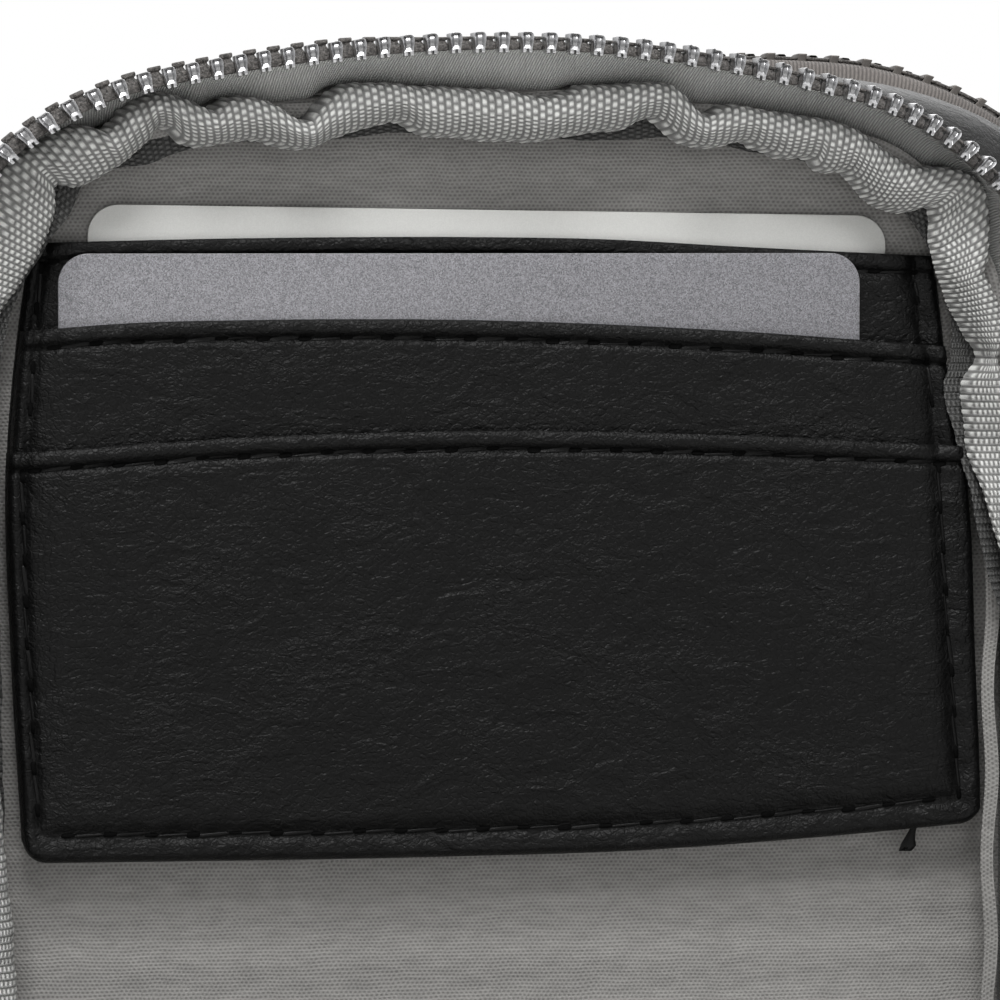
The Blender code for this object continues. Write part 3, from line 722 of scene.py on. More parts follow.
class SeamLine:
    """The line that runs this far outside the seam, measured from the middle of the bottom, leftwards."""

    def __init__(self, outside):
        corner = CORNER_RADIUS + outside
        shoulder = SHOULDER_RADIUS + outside
        crown = CROWN_RADIUS + outside
        quarter = math.pi / 2
        arcs = (
            (-corner_x, corner_z, corner, -quarter, -math.pi, corner_x),
            (-shoulder_x, shoulder_z, shoulder, math.pi, math.pi - shoulder_angle, shoulder_z - corner_z),
            (0.0, crown_z, crown, math.pi - shoulder_angle, shoulder_angle, 0.0),
            (shoulder_x, shoulder_z, shoulder, shoulder_angle, 0.0, 0.0),
            (corner_x, corner_z, corner, 0.0, -quarter, shoulder_z - corner_z),
        )
        self.arcs = []
        passed = 0.0
        for x, z, radius, start, end, straight_before in arcs:
            passed += straight_before
            length = radius * abs(end - start)
            self.arcs.append((passed, length, x, z, radius, start, end))
            passed += length
        self.length = passed + corner_x
        self.middle = self.length / 2

    def at(self, along):
        """Places and outward directions at these lengths, as x, z, out_x, out_z."""
        along = np.asarray(along, dtype=float) % self.length
        angle = np.full_like(along, -math.pi / 2)
        x = -along
        z = np.full_like(along, self.arcs[0][3] - self.arcs[0][4])
        for start, length, centre_x, centre_z, radius, first, last in self.arcs:
            turned = np.clip((along - start) / length, 0.0, 1.0)
            reached = along >= start
            here = first + (last - first) * turned
            beyond = np.maximum(along - start - length, 0.0)
            angle = np.where(reached, here, angle)
            on_x = centre_x + radius * np.cos(here) + np.sin(here) * beyond
            on_z = centre_z + radius * np.sin(here) - np.cos(here) * beyond
            x = np.where(reached, on_x, x)
            z = np.where(reached, on_z, z)
        return x, z, np.cos(angle), np.sin(angle)

    def left_at(self, height):
        """The length at which the left side reaches this height."""
        return self.arcs[0][0] + self.arcs[0][1] + height - corner_z


def depth_inside(x, z):
    """How far points lie inside the seam, which is less than 0 outside it."""
    x = np.abs(x)
    side = HALF_WIDTH - x
    crown = CROWN_RADIUS - np.hypot(x, z - crown_z)
    shoulder = SHOULDER_RADIUS - np.hypot(x - shoulder_x, z - shoulder_z)
    corner = CORNER_RADIUS - np.hypot(x - corner_x, z - corner_z)
    inside = np.minimum(np.minimum(side, crown), z - BOTTOM)
    on_shoulder = (z > shoulder_z) & (np.arctan2(z - crown_z, x) < shoulder_angle)
    inside = np.where(on_shoulder, shoulder, inside)
    return np.where((x > corner_x) & (z < corner_z), corner, inside)


seam = SeamLine(0.0)
print("the seam is", round(seam.length * 1000), "mm round")

# %% [markdown]
# ## From a flat cut to the seam
#
# A tape or a ribbon is cut flat, so it is also modelled flat: its x is the length along the seam, its y the
# place from front to back, and its z the distance outside the seam. Bending it round is then one formula for
# all of them. The front panel lies open on the floor. Its pieces are made as if the bag were shut, and then
# turned a quarter about the hinge.

# %% Flat cuts, and bending them
zip_low, zip_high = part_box("main_slider")
ZIP_MIDDLE = -(zip_low.y + zip_high.y) / 2
hinge_place = [joint["pos_m"] for joint in frame["joints"] if joint["name"] == "front_flap_hinge"][0]
HINGE_Y = hinge_place[1]
HINGE_Z = hinge_place[2]


def flat_cut(name, start, end, near, far, columns, rows):
    """A flat strip from start to end along the seam, and from near to far across."""
    cut = grid(name, columns, rows)
    cut.location = ((start + end) / 2, (near + far) / 2, 0.0)
    cut.scale = (end - start, far - near, 1.0)
    settle(cut)
    return cut


def bend_round(piece, outside=0.0):
    """Bends a flat strip round the seam. Lengths are true on the line this far outside it."""
    line = SeamLine(outside)
    along, depth, out = points_of(piece).T
    x, z, out_x, out_z = line.at(along)
    move_points(piece, x + out_x * (out - outside), depth, z + out_z * (out - outside))


def open_flat(piece):
    """Turns a piece of the shut front panel a quarter about the hinge, down to the floor."""
    x, y, z = points_of(piece).T
    move_points(piece, x, HINGE_Y - (z - HINGE_Z), HINGE_Z + (y - HINGE_Y))


def fit(piece, body, slot, finish, *nodes, angle=50, outwards=True):
    """Smooths a finished piece, and gives it its material, its body and the nodes that it stands for."""
    if outwards:
        facing_out(piece)
    smooth(piece, angle)
    piece.data.materials.clear()
    piece.data.materials.append(finish)
    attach(piece, body)
    if nodes:
        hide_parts(*nodes)


def followed_line(line, value):
    """A smooth curve through points given in millimetres, read at these values in metres."""
    marks, heights = np.array(line).T / 1000
    slopes = np.gradient(heights, marks)
    place = np.clip(np.searchsorted(marks, value) - 1, 0, len(marks) - 2)
    run = marks[place + 1] - marks[place]
    share = np.clip((value - marks[place]) / run, 0.0, 1.0)
    rest = 1 - share
    near = rest**2 * ((1 + 2 * share) * heights[place] + share * run * slopes[place])
    far = share**2 * ((1 + 2 * rest) * heights[place + 1] - rest * run * slopes[place + 1])
    return near + far


def smooth_step(value, start, end):
    """0 before start, 1 after end, and an even rise between them."""
    share = np.clip((value - start) / (end - start), 0.0, 1.0)
    return share * share * (3 - 2 * share)


def between(value, start, full, ending, gone):
    """0 before start, 1 from full to ending, and 0 again from gone."""
    return smooth_step(value, start, full) * (1 - smooth_step(value, ending, gone))


print("zip middle at", round(ZIP_MIDDLE * 1000, 1), "mm")

# %% [markdown]
# ## The four halves
#
# The bag has two compartments and each has two halves, an inner one on the middle panel and an outer one on
# a panel that turns. All four have the same tape, teeth and ribbon at the same depths, counted from the
# middle panel or mirrored in the zip's own middle. A small record of each half says how to put a depth into
# place, and the same functions then make all four.


# %% Where each half lies
SWELL = 0.0100
SWELL_UP = 0.0003
SWELL_BEHIND = 0.0022
SWELL_BEHIND_DEPTHS = (0.0030, 0.0100)
SWELL_ACROSS = (0.022, 0.054)
SWELL_UP_ACROSS = (0.017, 0.040)
SWELL_HEIGHTS = (0.147, 0.170)
SWELL_DEPTHS = (-0.0075, 0.0030, 0.0172, 0.0262)
TUCK = 0.0011
TUCK_ACROSS = (0.008, 0.034)
LEAN = 0.0019
LEAN_HEIGHTS = (0.120, 0.160)
LEAN_DEPTHS = (0.0045, 0.0095, 0.0171, 0.0221)
LEAN_ACROSS = (0.036, 0.056)

# How far the main zip's edge droops, in millimetres along from the crown's middle and inwards
droop_line = (
    (-40.0, 0.0), (18.0, 0.0), (30.0, 0.75), (42.0, 1.40), (52.0, 1.50), (60.0, 0.95), (75.0, 0.0),
    (120.0, 0.0),
)
DROOP_DEPTHS = (0.0062, 0.0092)


class Half:
    """One half of a compartment."""

    def __init__(self, space, place, side, body, opened):
        self.space = space
        self.place = place
        self.side = side
        self.body = body
        self.opened = opened

    def name(self, piece):
        return f"{self.space}_{piece}_{self.place}"

    def depth(self, value):
        """A depth from the middle panel's middle, as a Y in the shut bag."""
        if self.place == "outer":
            value = 2 * ZIP_MIDDLE - value
        return self.side * value

    def wrap(self, piece, outside=0.0):
        """Puts a flat strip of this half round the seam, and opens it if the panel is open."""
        along, depth, out = points_of(piece).T
        move_points(piece, along, self.depth(depth), out)
        bend_round(piece, outside)
        if self.space == "main":
            x, y, z = points_of(piece).T
            move_points(piece, x + lean(x, -y, z), y, z)
        swell(piece, self.opened)


def lean(x, depth, z):
    """How far the main zip and its ribbon lean to the right, this deep in front of the middle panel."""
    share = smooth_step(z, *LEAN_HEIGHTS) * (1 - smooth_step(-x, *LEAN_ACROSS))
    return LEAN * share * between(depth, *LEAN_DEPTHS)


def swell(piece, opened=False):
    """Squares the right shoulder behind the main zip, tucks in the left one, and may open the panel."""
    x, y, z = points_of(piece).T
    share = smooth_step(z, *SWELL_HEIGHTS) * between(y, *SWELL_DEPTHS)
    across = SWELL * smooth_step(x, *SWELL_ACROSS)
    up = SWELL_UP + SWELL_BEHIND * smooth_step(y, *SWELL_BEHIND_DEPTHS)
    up = up * smooth_step(x, *SWELL_UP_ACROSS)
    tuck = TUCK * smooth_step(-x, *TUCK_ACROSS) * smooth_step(y, *SWELL_BEHIND_DEPTHS)
    move_points(piece, x + (across + tuck) * share, y, z + (up - tuck) * share)
    if opened:
        open_flat(piece)


def droop(half, along, depth):
    """How far the zip hangs inwards at these places of a flat strip."""
    if half.space == "rear":
        return 0.0 * along
    return followed_line(droop_line, along - seam.middle) * smooth_step(depth, *DROOP_DEPTHS)


halves = (
    Half("main", "inner", -1, "middle", False),
    Half("main", "outer", -1, "front_flap", True),
    Half("rear", "inner", 1, "middle", False),
    Half("rear", "outer", 1, "back_flap", False),
)
print("halves:", [half.name("half") for half in halves])

# %% [markdown]
# ## The edges of the ribbon
#
# The raw edge of each seam is bound with a ribbon, folded in half over it and sewn through. Where the
# stitches pull, the ribbon puckers and takes the tape's foot down with it, so its edges are written before
# both. Over the crown they are points seen in the photo. Each is turned into a place on the seam by a line
# from the camera through its pixel, up to the depth at which the ribbon lies. Down the sides they are a few
# sizes, and everywhere else they come from a formula.

# %% The ribbon's edges
RIBBON_LEAF = 0.0072
RIBBON_DEPTH = 0.0070
PUCKER = 0.0165
LOWERED = 0.0015
LOWERED_RUN = 0.015
SHIVER = 0.00012
FOLLOWED_RUN = 0.010
GUSSET_TOP = 0.0180
gusset_half = seam.left_at(GUSSET_TOP)

# Of an even ribbon: how far outside the seam each edge lies, and how far its two waves move it
FOLD_LIES, FOLD_WAVE, FOLD_RIPPLE = -0.0008, 0.0009, 0.0004
FRONT_LIES, FRONT_WAVE, FRONT_RIPPLE = -0.0061, 0.0007, 0.0003
BACK_LIES, BACK_WAVE, BACK_RIPPLE = -0.0062, 0.0005, 0.0004
BACK_WAVE_RUN = 0.0031
BACK_RIPPLE_RUN = 0.0019

# Over the crown the edges are given as points in the photo, in pixels across and down
PHOTO_SIZE = 1000
TOP_DEPTH = 0.0092
LOW_DEPTH = 0.0088
CROWN_REACH = 0.08
CROWN_STEPS = 3201
top_pixels = (
    (85, 124), (95, 126), (104, 130), (112, 127), (118, 122), (125, 113), (130, 108), (140, 101),
    (150, 96), (160, 92), (170, 91), (180, 93), (188, 95), (196, 99), (205, 104), (214, 109),
    (223, 105), (232, 99), (242, 96), (254, 95), (265, 97), (275, 101), (285, 107), (293, 113),
    (300, 117), (307, 119), (313, 118), (319, 111), (326, 103), (334, 96), (342, 90), (350, 85),
    (360, 82), (380, 81), (400, 82), (420, 84), (440, 85), (460, 87), (480, 87), (500, 87), (512, 88),
    (524, 91), (540, 94), (558, 95), (570, 93), (580, 89), (590, 84), (610, 83), (630, 83), (650, 81),
    (664, 81), (674, 82), (682, 87), (690, 96), (697, 105), (705, 112), (713, 113), (720, 109),
    (727, 105), (738, 103), (750, 105), (770, 108), (790, 112), (810, 115), (830, 116), (840, 118),
    (850, 122), (862, 128), (875, 137), (888, 147), (900, 155), (912, 160), (925, 164),
)
low_pixels = (
    (82, 187), (92, 183), (102, 178), (112, 173), (122, 168), (132, 160), (141, 151), (149, 143),
    (154, 136), (158, 129), (165, 128), (172, 129), (178, 133), (184, 140), (190, 143), (200, 146),
    (212, 147), (226, 145), (240, 143), (256, 140), (268, 141), (280, 145), (292, 148), (306, 149),
    (318, 147), (330, 142), (344, 139), (354, 135), (364, 131), (376, 127), (390, 124), (402, 122),
    (410, 124), (418, 129), (426, 133), (438, 137), (460, 138), (480, 139), (500, 141), (520, 141),
    (540, 142), (556, 140), (572, 138), (584, 136), (594, 133), (606, 131), (620, 131), (629, 130),
    (636, 125), (643, 121), (651, 119), (658, 119), (664, 123), (671, 130), (678, 137), (685, 142),
    (696, 145), (712, 147), (724, 147), (734, 145), (744, 142), (752, 143), (760, 148), (772, 152),
    (782, 158), (792, 160), (802, 159), (810, 158), (817, 160), (822, 167), (830, 171), (840, 173),
    (848, 172), (856, 178), (864, 187), (872, 198), (882, 205), (892, 208),
)


def measured(pixels, depth):
    """Pixels of the photo, as millimetres along from the crown's middle and outside, at this depth."""
    right = Vector((0, 0, 1)).cross(view_back).normalized()
    up = view_back.cross(right)
    eye = VIEW_TARGET + view_back * VIEW_DISTANCE
    line = seam.middle + np.linspace(-CROWN_REACH, CROWN_REACH, CROWN_STEPS)
    line_x, line_z, out_x, out_z = seam.at(line)
    found = []
    for across, down in pixels:
        aim = right * (across - PHOTO_SIZE / 2) + up * (PHOTO_SIZE / 2 - down)
        ray = VIEW_TARGET + aim * VIEW_WIDTH / PHOTO_SIZE - eye
        x, _, z = eye - ray * ((eye.y + depth) / ray.y)
        x = x - lean(x - LEAN, depth, z)
        spot = int(np.argmin(np.hypot(line_x - x, line_z - z)))
        outside = (x - line_x[spot]) * out_x[spot] + (z - line_z[spot]) * out_z[spot]
        found.append(((line[spot] - seam.middle) * 1000, outside * 1000))
    return tuple(found)


# Down the sides they are a few sizes, in millimetres along and outside
top_edge = (
    (-75.0, 0.8), (-62.0, 1.2), (-52.7, 2.1), (-48.2, 1.6), (-46.6, 1.4),
    *measured(top_pixels, TOP_DEPTH),
    (51.0, 0.0), (52.8, 0.7), (54.3, 1.0), (55.8, 0.4), (58.3, -1.2), (61.0, -2.9), (62.5, -4.1),
    (64.3, -3.8), (68.0, -3.1), (71.8, -3.0), (73.4, -3.8), (75.5, -2.6), (79.0, -0.6), (90.0, 1.0),
    (150.0, 1.1), (160.0, 0.6),
)
low_edge = (
    (-150.0, -6.6), (-142.0, -6.9), (-124.0, -5.6), (-112.0, -4.5), (-75.0, -4.4), (-68.0, -5.0),
    (-63.0, -6.2), (-57.9, -6.4), (-54.5, -6.0), (-51.8, -4.6), (-50.6, -3.3),
    *measured(low_pixels, LOW_DEPTH),
    (50.3, -6.9), (51.6, -5.2), (53.2, -5.6), (55.3, -7.0), (58.8, -7.7), (63.3, -8.1), (66.6, -7.8),
    (70.5, -6.6), (73.4, -5.2), (75.6, -6.6), (79.0, -6.5), (83.7, -5.8), (91.0, -3.9), (96.5, -2.2),
    (106.0, -0.8), (140.0, -0.8), (150.0, -3.0), (160.0, -6.0),
)
back_edge = (
    (-150.0, -6.3), (-100.0, -5.2), (-75.0, -5.2), (-66.0, -6.4), (-57.0, -6.9), (-50.0, -6.2),
    (-47.0, -5.0), (-42.0, -5.5), (-38.0, -6.0), (-34.5, -5.4), (-30.0, -5.2), (-20.0, -6.4),
    (-10.0, -6.1), (-4.0, -6.6), (8.0, -6.9), (15.0, -6.5), (18.0, -6.1), (24.0, -5.8), (29.0, -6.3),
    (36.0, -6.2), (46.0, -6.9), (52.0, -6.9), (58.0, -7.2), (66.0, -7.6), (71.5, -7.2), (74.0, -7.3),
    (76.0, -8.0), (77.8, -7.9), (83.3, -6.5), (90.8, -5.1), (99.3, -2.9), (103.0, -1.8), (108.0, -1.2),
    (140.0, -1.2), (150.0, -3.3), (160.0, -6.2),
)


def puckered(along, phase):
    """Fold, front edge and back edge of an evenly puckered ribbon, which keeps inside the gusset."""
    turn = 2 * math.pi * along / PUCKER + phase
    uneven = np.sin(turn + 1.3 * np.sin(turn * 0.37 + phase))
    from_foot = np.minimum(along % seam.length, seam.length - along % seam.length)
    lowered = LOWERED * (1 - smooth_step(from_foot, gusset_half, gusset_half + LOWERED_RUN))
    fold = FOLD_LIES + FOLD_WAVE * uneven + FOLD_RIPPLE * np.sin(turn * 2.3) - lowered
    front = FRONT_LIES + FRONT_WAVE * np.sin(turn * 1.13 + 1.9) + FRONT_RIPPLE * np.sin(turn * 2.9)
    back_wave = BACK_WAVE * np.sin(along / BACK_WAVE_RUN + 1.0)
    return fold, front, BACK_LIES + back_wave + BACK_RIPPLE * np.sin(along / BACK_RIPPLE_RUN)


def ribbon_phase(half):
    """Where the puckers of this half start."""
    return len(half.space) + 2.0 * len(half.body)


def followed(along, phase):
    """The same for the ribbon in front, which follows its lines from side to side."""
    from_middle = along - seam.middle
    shiver = SHIVER * np.sin(along / 0.0013) * np.sin(along / 0.0041)
    edges = []
    for line, even in zip((top_edge, low_edge, back_edge), puckered(along, phase)):
        start, end = line[0][0] / 1000, line[-1][0] / 1000
        inside = between(from_middle, start, start + FOLLOWED_RUN, end - FOLLOWED_RUN, end)
        edges.append(even + (followed_line(line, from_middle) + shiver - even) * inside)
    return edges


print("ribbon edges followed over", top_edge[-1][0] - top_edge[0][0], "mm")

# %% [markdown]
# ## Zip tape
#
# The tape starts under the trim, flares outwards a little and ends in a corded edge that the teeth bite on.
# It is one flat strip whose height follows a smooth step, thickened with Solidify, and bent round.

# %% Tape sizes
TAPE_THICKNESS = 0.0006
TAPE_NEAR = 0.0003
TAPE_BEND = 0.0042
TAPE_FLAT = 0.0086
TAPE_EDGE = 0.0101
TAPE_UNDER = -0.00035
TAPE_OUT = 0.0024
TAPE_FOOT = 0.0183
TAPE_PULL = 0.0014
TAPE_PULL_DEPTHS = (0.0022, 0.0040)
TAPE_SLACK = 0.0006
TAPE_WAVE = 0.00018
TAPE_WAVE_RUN = 0.011
TAPE_COLUMNS = 560
TAPE_ROWS = 22

foot = seam.left_at(TAPE_FOOT)


def tape(half):
    """The woven tape of one half."""
    name = half.name("tape")
    made = flat_cut(name, foot, seam.length - foot, TAPE_NEAR, TAPE_EDGE, TAPE_COLUMNS, TAPE_ROWS)
    along, depth, out = points_of(made).T
    bent = smooth_step(depth, TAPE_BEND, TAPE_FLAT)
    shape = followed if name == "main_tape_inner" else puckered
    fold = shape(along, ribbon_phase(half))[0]
    pulled = np.clip(fold + TAPE_SLACK, -TAPE_PULL, 0.0) * smooth_step(depth, *TAPE_PULL_DEPTHS) * (1 - bent)
    rise = TAPE_UNDER + (TAPE_OUT - TAPE_UNDER + TAPE_WAVE * np.sin(along / TAPE_WAVE_RUN)) * bent
    move_points(made, along, depth, rise + pulled - droop(half, along, depth))
    with_modifier(made, "SOLIDIFY", thickness=TAPE_THICKNESS, offset=0.0, use_even_offset=True)
    along, depth, out = points_of(made).T
    write_cut(made, along, depth)
    half.wrap(made)
    finish = inner_tape if half.space == "main" else outer_tape
    fit(made, half.body, "grey_tape", finish, half.name("zip_tape"))


for half in halves:
    tape(half)
print("tape", round((TAPE_EDGE - TAPE_NEAR) * 1000, 1), "mm wide")

# %% [markdown]
# ## Zip teeth
#
# One metal tooth grips the corded edge of the tape, and its head stands out beyond the edge, with a ridge, a
# socket at its end and two small feet. It starts as a cube, which is cut across, hollowed at its end and
# pushed into shape. An Array modifier then makes the row, and the row is bent round as one piece. The dark
# knots between the teeth are the cord of the tape's edge, which the teeth squeeze out.

# %% One tooth, and a row of them
TOOTH_PITCH = 0.0025
TOOTH_WIDTH = 0.00128
TOOTH_ROOT = 0.0097
TOOTH_NECK = 0.0110
TOOTH_TIP = 0.0136
TOOTH_HALF_HEIGHT = 0.00088
TOOTH_MIDDLE = 0.0027
TOOTH_RIM = 0.00037
TOOTH_SOCKET = 0.00055
TOOTH_FOOT = 0.00042
TOOTH_EDGE = 0.00008
TOOTH_RIDGE = 0.0004
SOCKET_LIFT = 0.00006
TIP_RUN = 0.0006
NECK_WIDTH = 0.85
FOOT_GAP = 0.00016
ROW_FOOT = 0.0220

# How wide the head is at each height, from its underside to its top
HEAD_HEIGHTS = (-1.00, -0.45, 0.00, 0.45, 0.80, 1.00)
HEAD_WIDTHS = (0.80, 0.84, 0.96, 1.00, 0.88, 0.56)

# The cord between two teeth, and the steps of its lip: each one's height, and how its end is scaled
CORD_SIZE = (0.0014, 0.0015, 0.0009)
CORD_OUT = 0.0003
CORD_EDGE = 0.00010
CORD_LOW = TOOTH_MIDDLE - CORD_SIZE[2]
CORD_STEPS = ((0.0005, (0.55, 0.8, 1.0)), (0.0001, (1.66, 1.3, 1.0)), (0.0004, (1.0, 1.0, 1.0)))
CORD_SQUEEZED = 0.74
CORD_LIP = 0.40
LIP_REACH = (0.006, 0.020)
REAR_TOOTH = 0.62
REAR_CORD = 1.45


def is_foot(face):
    """True for the faces under a tooth's head, on both sides of the gap between its feet."""
    place = face.center
    under = face.normal.z < -0.9 and place.z < TOOTH_MIDDLE - 0.9 * TOOTH_HALF_HEIGHT
    return under and place.y > TOOTH_NECK and abs(place.x) > FOOT_GAP


def one_tooth(name):
    """A tooth at the start of the row, its length along +Y."""
    size = (TOOTH_WIDTH, TOOTH_TIP - TOOTH_ROOT, 2 * TOOTH_HALF_HEIGHT)
    tooth = block(name, size, (0.0, (TOOTH_ROOT + TOOTH_TIP) / 2, TOOTH_MIDDLE))
    edit_all(tooth)
    bpy.ops.mesh.bisect(plane_co=(0, TOOTH_NECK, 0), plane_no=(0, 1, 0))
    for height in HEAD_HEIGHTS[1:-1]:
        bpy.ops.mesh.select_all(action="SELECT")
        bpy.ops.mesh.bisect(plane_co=(0, 0, TOOTH_MIDDLE + height * TOOTH_HALF_HEIGHT), plane_no=(0, 0, 1))
    edit_some(tooth, "FACE", lambda face: face.normal.y > 0.9)
    bpy.ops.mesh.inset(thickness=TOOTH_RIM)
    bpy.ops.transform.translate(value=(0, -TOOTH_SOCKET, SOCKET_LIFT))
    for side in (-FOOT_GAP, FOOT_GAP):
        bpy.ops.mesh.select_all(action="SELECT")
        bpy.ops.mesh.bisect(plane_co=(side, 0, 0), plane_no=(1, 0, 0))
    edit_some(tooth, "FACE", is_foot)
    bpy.ops.mesh.extrude_region_move(TRANSFORM_OT_translate={"value": (0, 0, -TOOTH_FOOT)})
    bpy.ops.object.mode_set(mode="OBJECT")
    x, y, z = points_of(tooth).T
    # Marks the socket's floor, which the plating paints darker as painted shade
    sunk = (np.abs(y - (TOOTH_TIP - TOOTH_SOCKET)) < 2 * MERGED_WITHIN).astype(float)
    write_cut(tooth, sunk, x)
    up = (z - TOOTH_MIDDLE) / TOOTH_HALF_HEIGHT
    tip = smooth_step(y, TOOTH_NECK, TOOTH_TIP - TIP_RUN)
    narrow = np.interp(up, HEAD_HEIGHTS, HEAD_WIDTHS)
    forward = TOOTH_RIDGE * np.clip(1 - up**2, 0, 1) * tip
    move_points(tooth, x * (NECK_WIDTH + (narrow - NECK_WIDTH) * tip), y + forward, z)
    soften(tooth, TOOTH_EDGE, 32)
    return tooth


def one_knot(name):
    """The squeezed cord between two teeth, half a pitch along, with its wider outer lip."""
    knot = block(name, CORD_SIZE, (TOOTH_PITCH / 2, TAPE_EDGE + CORD_OUT, CORD_LOW + CORD_SIZE[2] / 2))
    edit_some(knot, "FACE", lambda face: face.normal.z > 0.9)
    for height, scale in CORD_STEPS:
        bpy.ops.mesh.extrude_region_move(TRANSFORM_OT_translate={"value": (0, 0, height)})
        bpy.ops.transform.resize(value=scale)
    bpy.ops.object.mode_set(mode="OBJECT")
    soften(knot, CORD_EDGE)
    return knot


def in_a_row(piece, line, middle, wider):
    """Scales the piece about its middle, and repeats it along the row, from one foot to the other."""
    x, y, z = points_of(piece).T
    move_points(piece, middle + (x - middle) * wider, y, z)
    start = line.left_at(ROW_FOOT)
    count = int((line.length - 2 * start) / TOOTH_PITCH)
    spare = line.length - 2 * start - (count - 1) * TOOTH_PITCH
    repeat(piece, count, TOOTH_PITCH)
    x, y, z = points_of(piece).T
    return count, x + start + spare / 2, y, z


def teeth(half):
    """The row of one half, and the knots of cord between its teeth."""
    line = SeamLine(TOOTH_MIDDLE)
    to_seam = seam.middle - line.middle
    shift = TOOTH_PITCH / 2 if half.place == "outer" else 0.0
    main = half.space == "main"
    row = one_tooth(half.name("teeth"))
    count, x, y, z = in_a_row(row, line, 0.0, 1.0 if main else REAR_TOOTH)
    seat = np.floor((x - line.left_at(ROW_FOOT)) / TOOTH_PITCH + 0.25) * TOOTH_PITCH + line.left_at(ROW_FOOT)
    move_points(row, x + shift, y, z - droop(half, seat + to_seam, y))
    half.wrap(row, TOOTH_MIDDLE)
    # The rear teeth take the darker copy of the nickel, which is painted shade
    plating = tooth_nickel if main else shaded_nickel
    fit(row, half.body, "nickel", plating, half.name("zip_teeth"), angle=35)
    knots = one_knot(half.name("tape_cord"))
    _, x, y, z = in_a_row(knots, line, TOOTH_PITCH / 2, 1.0 if main else REAR_CORD)
    lip = smooth_step(line.middle - x, *LIP_REACH) if main else 0.0
    tall = CORD_SQUEEZED + CORD_LIP * lip
    move_points(knots, x + shift, y, CORD_LOW + (z - CORD_LOW) * tall - droop(half, x + to_seam, y))
    half.wrap(knots, TOOTH_MIDDLE)
    fit(knots, half.body, "grey_tape", knot_tape)
    return count


for half in halves:
    print(half.name("zip_teeth"), teeth(half))

# %% [markdown]
# ## Folding the ribbon
#
# The ribbon is one long strip: its middle is the fold, one leaf shows and the other lies behind it. Its
# weave is coarse enough to show as real relief, bricks across its middle and smaller knots towards its front
# edge. So the strip has short columns where it shows best, and each point is pushed out by the weave. Where
# an edge lies close to the fold, the leaf arches over its seam, or, on the straight sides, it leans on the
# tape.

# %% Folding the ribbon
COLUMN_LENGTH = 0.00078
BRICK_LENGTH = 0.00118
KNOT_LENGTH = 0.00056
WEAVE_RELIEF = 0.00020
BEHIND_ROWS = 12
RIBBON_ROWS = 48
RIBBON_COLUMNS = 660
FINE_COLUMNS = 1830

# The fine strip's columns are closest over the crown: the share of its columns, and of the seam they reach
FINE_SHARES = ((0.0, 0.0), (0.17, 0.342), (0.85, 0.700), (1.0, 1.0))

# Where the leaf leans on the tape, outwards from the crown's middle
LEANS_RIGHT = (0.078, 0.090, 0.142, 0.160)
LEANS_LEFT = (0.070, 0.085, 0.110, 0.130)
NARROWEST = 0.0012
WIDEST_SHARE = 0.985
FACE_LIFT = 0.0003
FACE_ROUND = 0.0007
EDGE_ROLL = 0.0005
BEHIND = 0.0010
BEHIND_WAVE = 0.0003
BEHIND_WAVE_RUN = 0.0027
LEAF_STEP = 0.01


def weave_rows(share):
    """Counts the rows of the weave from the fold (0) to a leaf's edge (1)."""
    across = share * RIBBON_LEAF
    first = KNOT_LENGTH * 1.4
    bricks = first + 2.5 * BRICK_LENGTH
    knots = np.maximum(across - bricks, 0.0) / KNOT_LENGTH
    return np.minimum(across / first, 1.0) + np.clip((across - first) / BRICK_LENGTH, 0.0, 2.5) + knots


def weave_height(columns, rows):
    """The height of the weave's bricks, 1 in their middles and 0 between them."""
    count = np.floor(columns)
    lift = np.sin(np.pi * (columns - count))
    bricks = rows + 0.5 * count
    return lift**0.80 * (0.20 + 0.80 * np.sin(np.pi * (bricks - np.floor(bricks))) ** 0.80)


def leaf_shape(edges, along, leaf, leans):
    """Depth and distance outside of points on the folded strip. The fold is at leaf 0."""
    fold, front, back = edges
    share = np.abs(leaf)
    width = np.clip(fold - front, NARROWEST, RIBBON_LEAF * WIDEST_SHARE)
    from_middle = along - seam.middle
    stand = (between(from_middle, *LEANS_RIGHT) + between(-from_middle, *LEANS_LEFT)) * leans
    arch = np.sqrt(3 * width * (RIBBON_LEAF - width) / 8) * (1 - stand) * 0.85
    rise = np.sqrt(np.maximum((RIBBON_LEAF * 0.9) ** 2 - width**2, 0.0)) * stand
    round_face = np.sqrt(np.maximum(1 - (2 * share - 1) ** 2, 0.0))
    roll = EDGE_ROLL * smooth_step(share, 0.93, 1.0)
    face = RIBBON_DEPTH + FACE_LIFT + (arch + FACE_ROUND) * round_face + rise * share - roll
    wave = BEHIND_WAVE * np.sin(along / BEHIND_WAVE_RUN)
    behind = RIBBON_DEPTH - BEHIND + rise * share * 0.7 - wave * share
    blend = smooth_step(leaf, -0.08, 0.08)
    out = fold + (np.where(leaf > 0, front, back) - fold) * share
    return behind + (face - behind) * blend, out


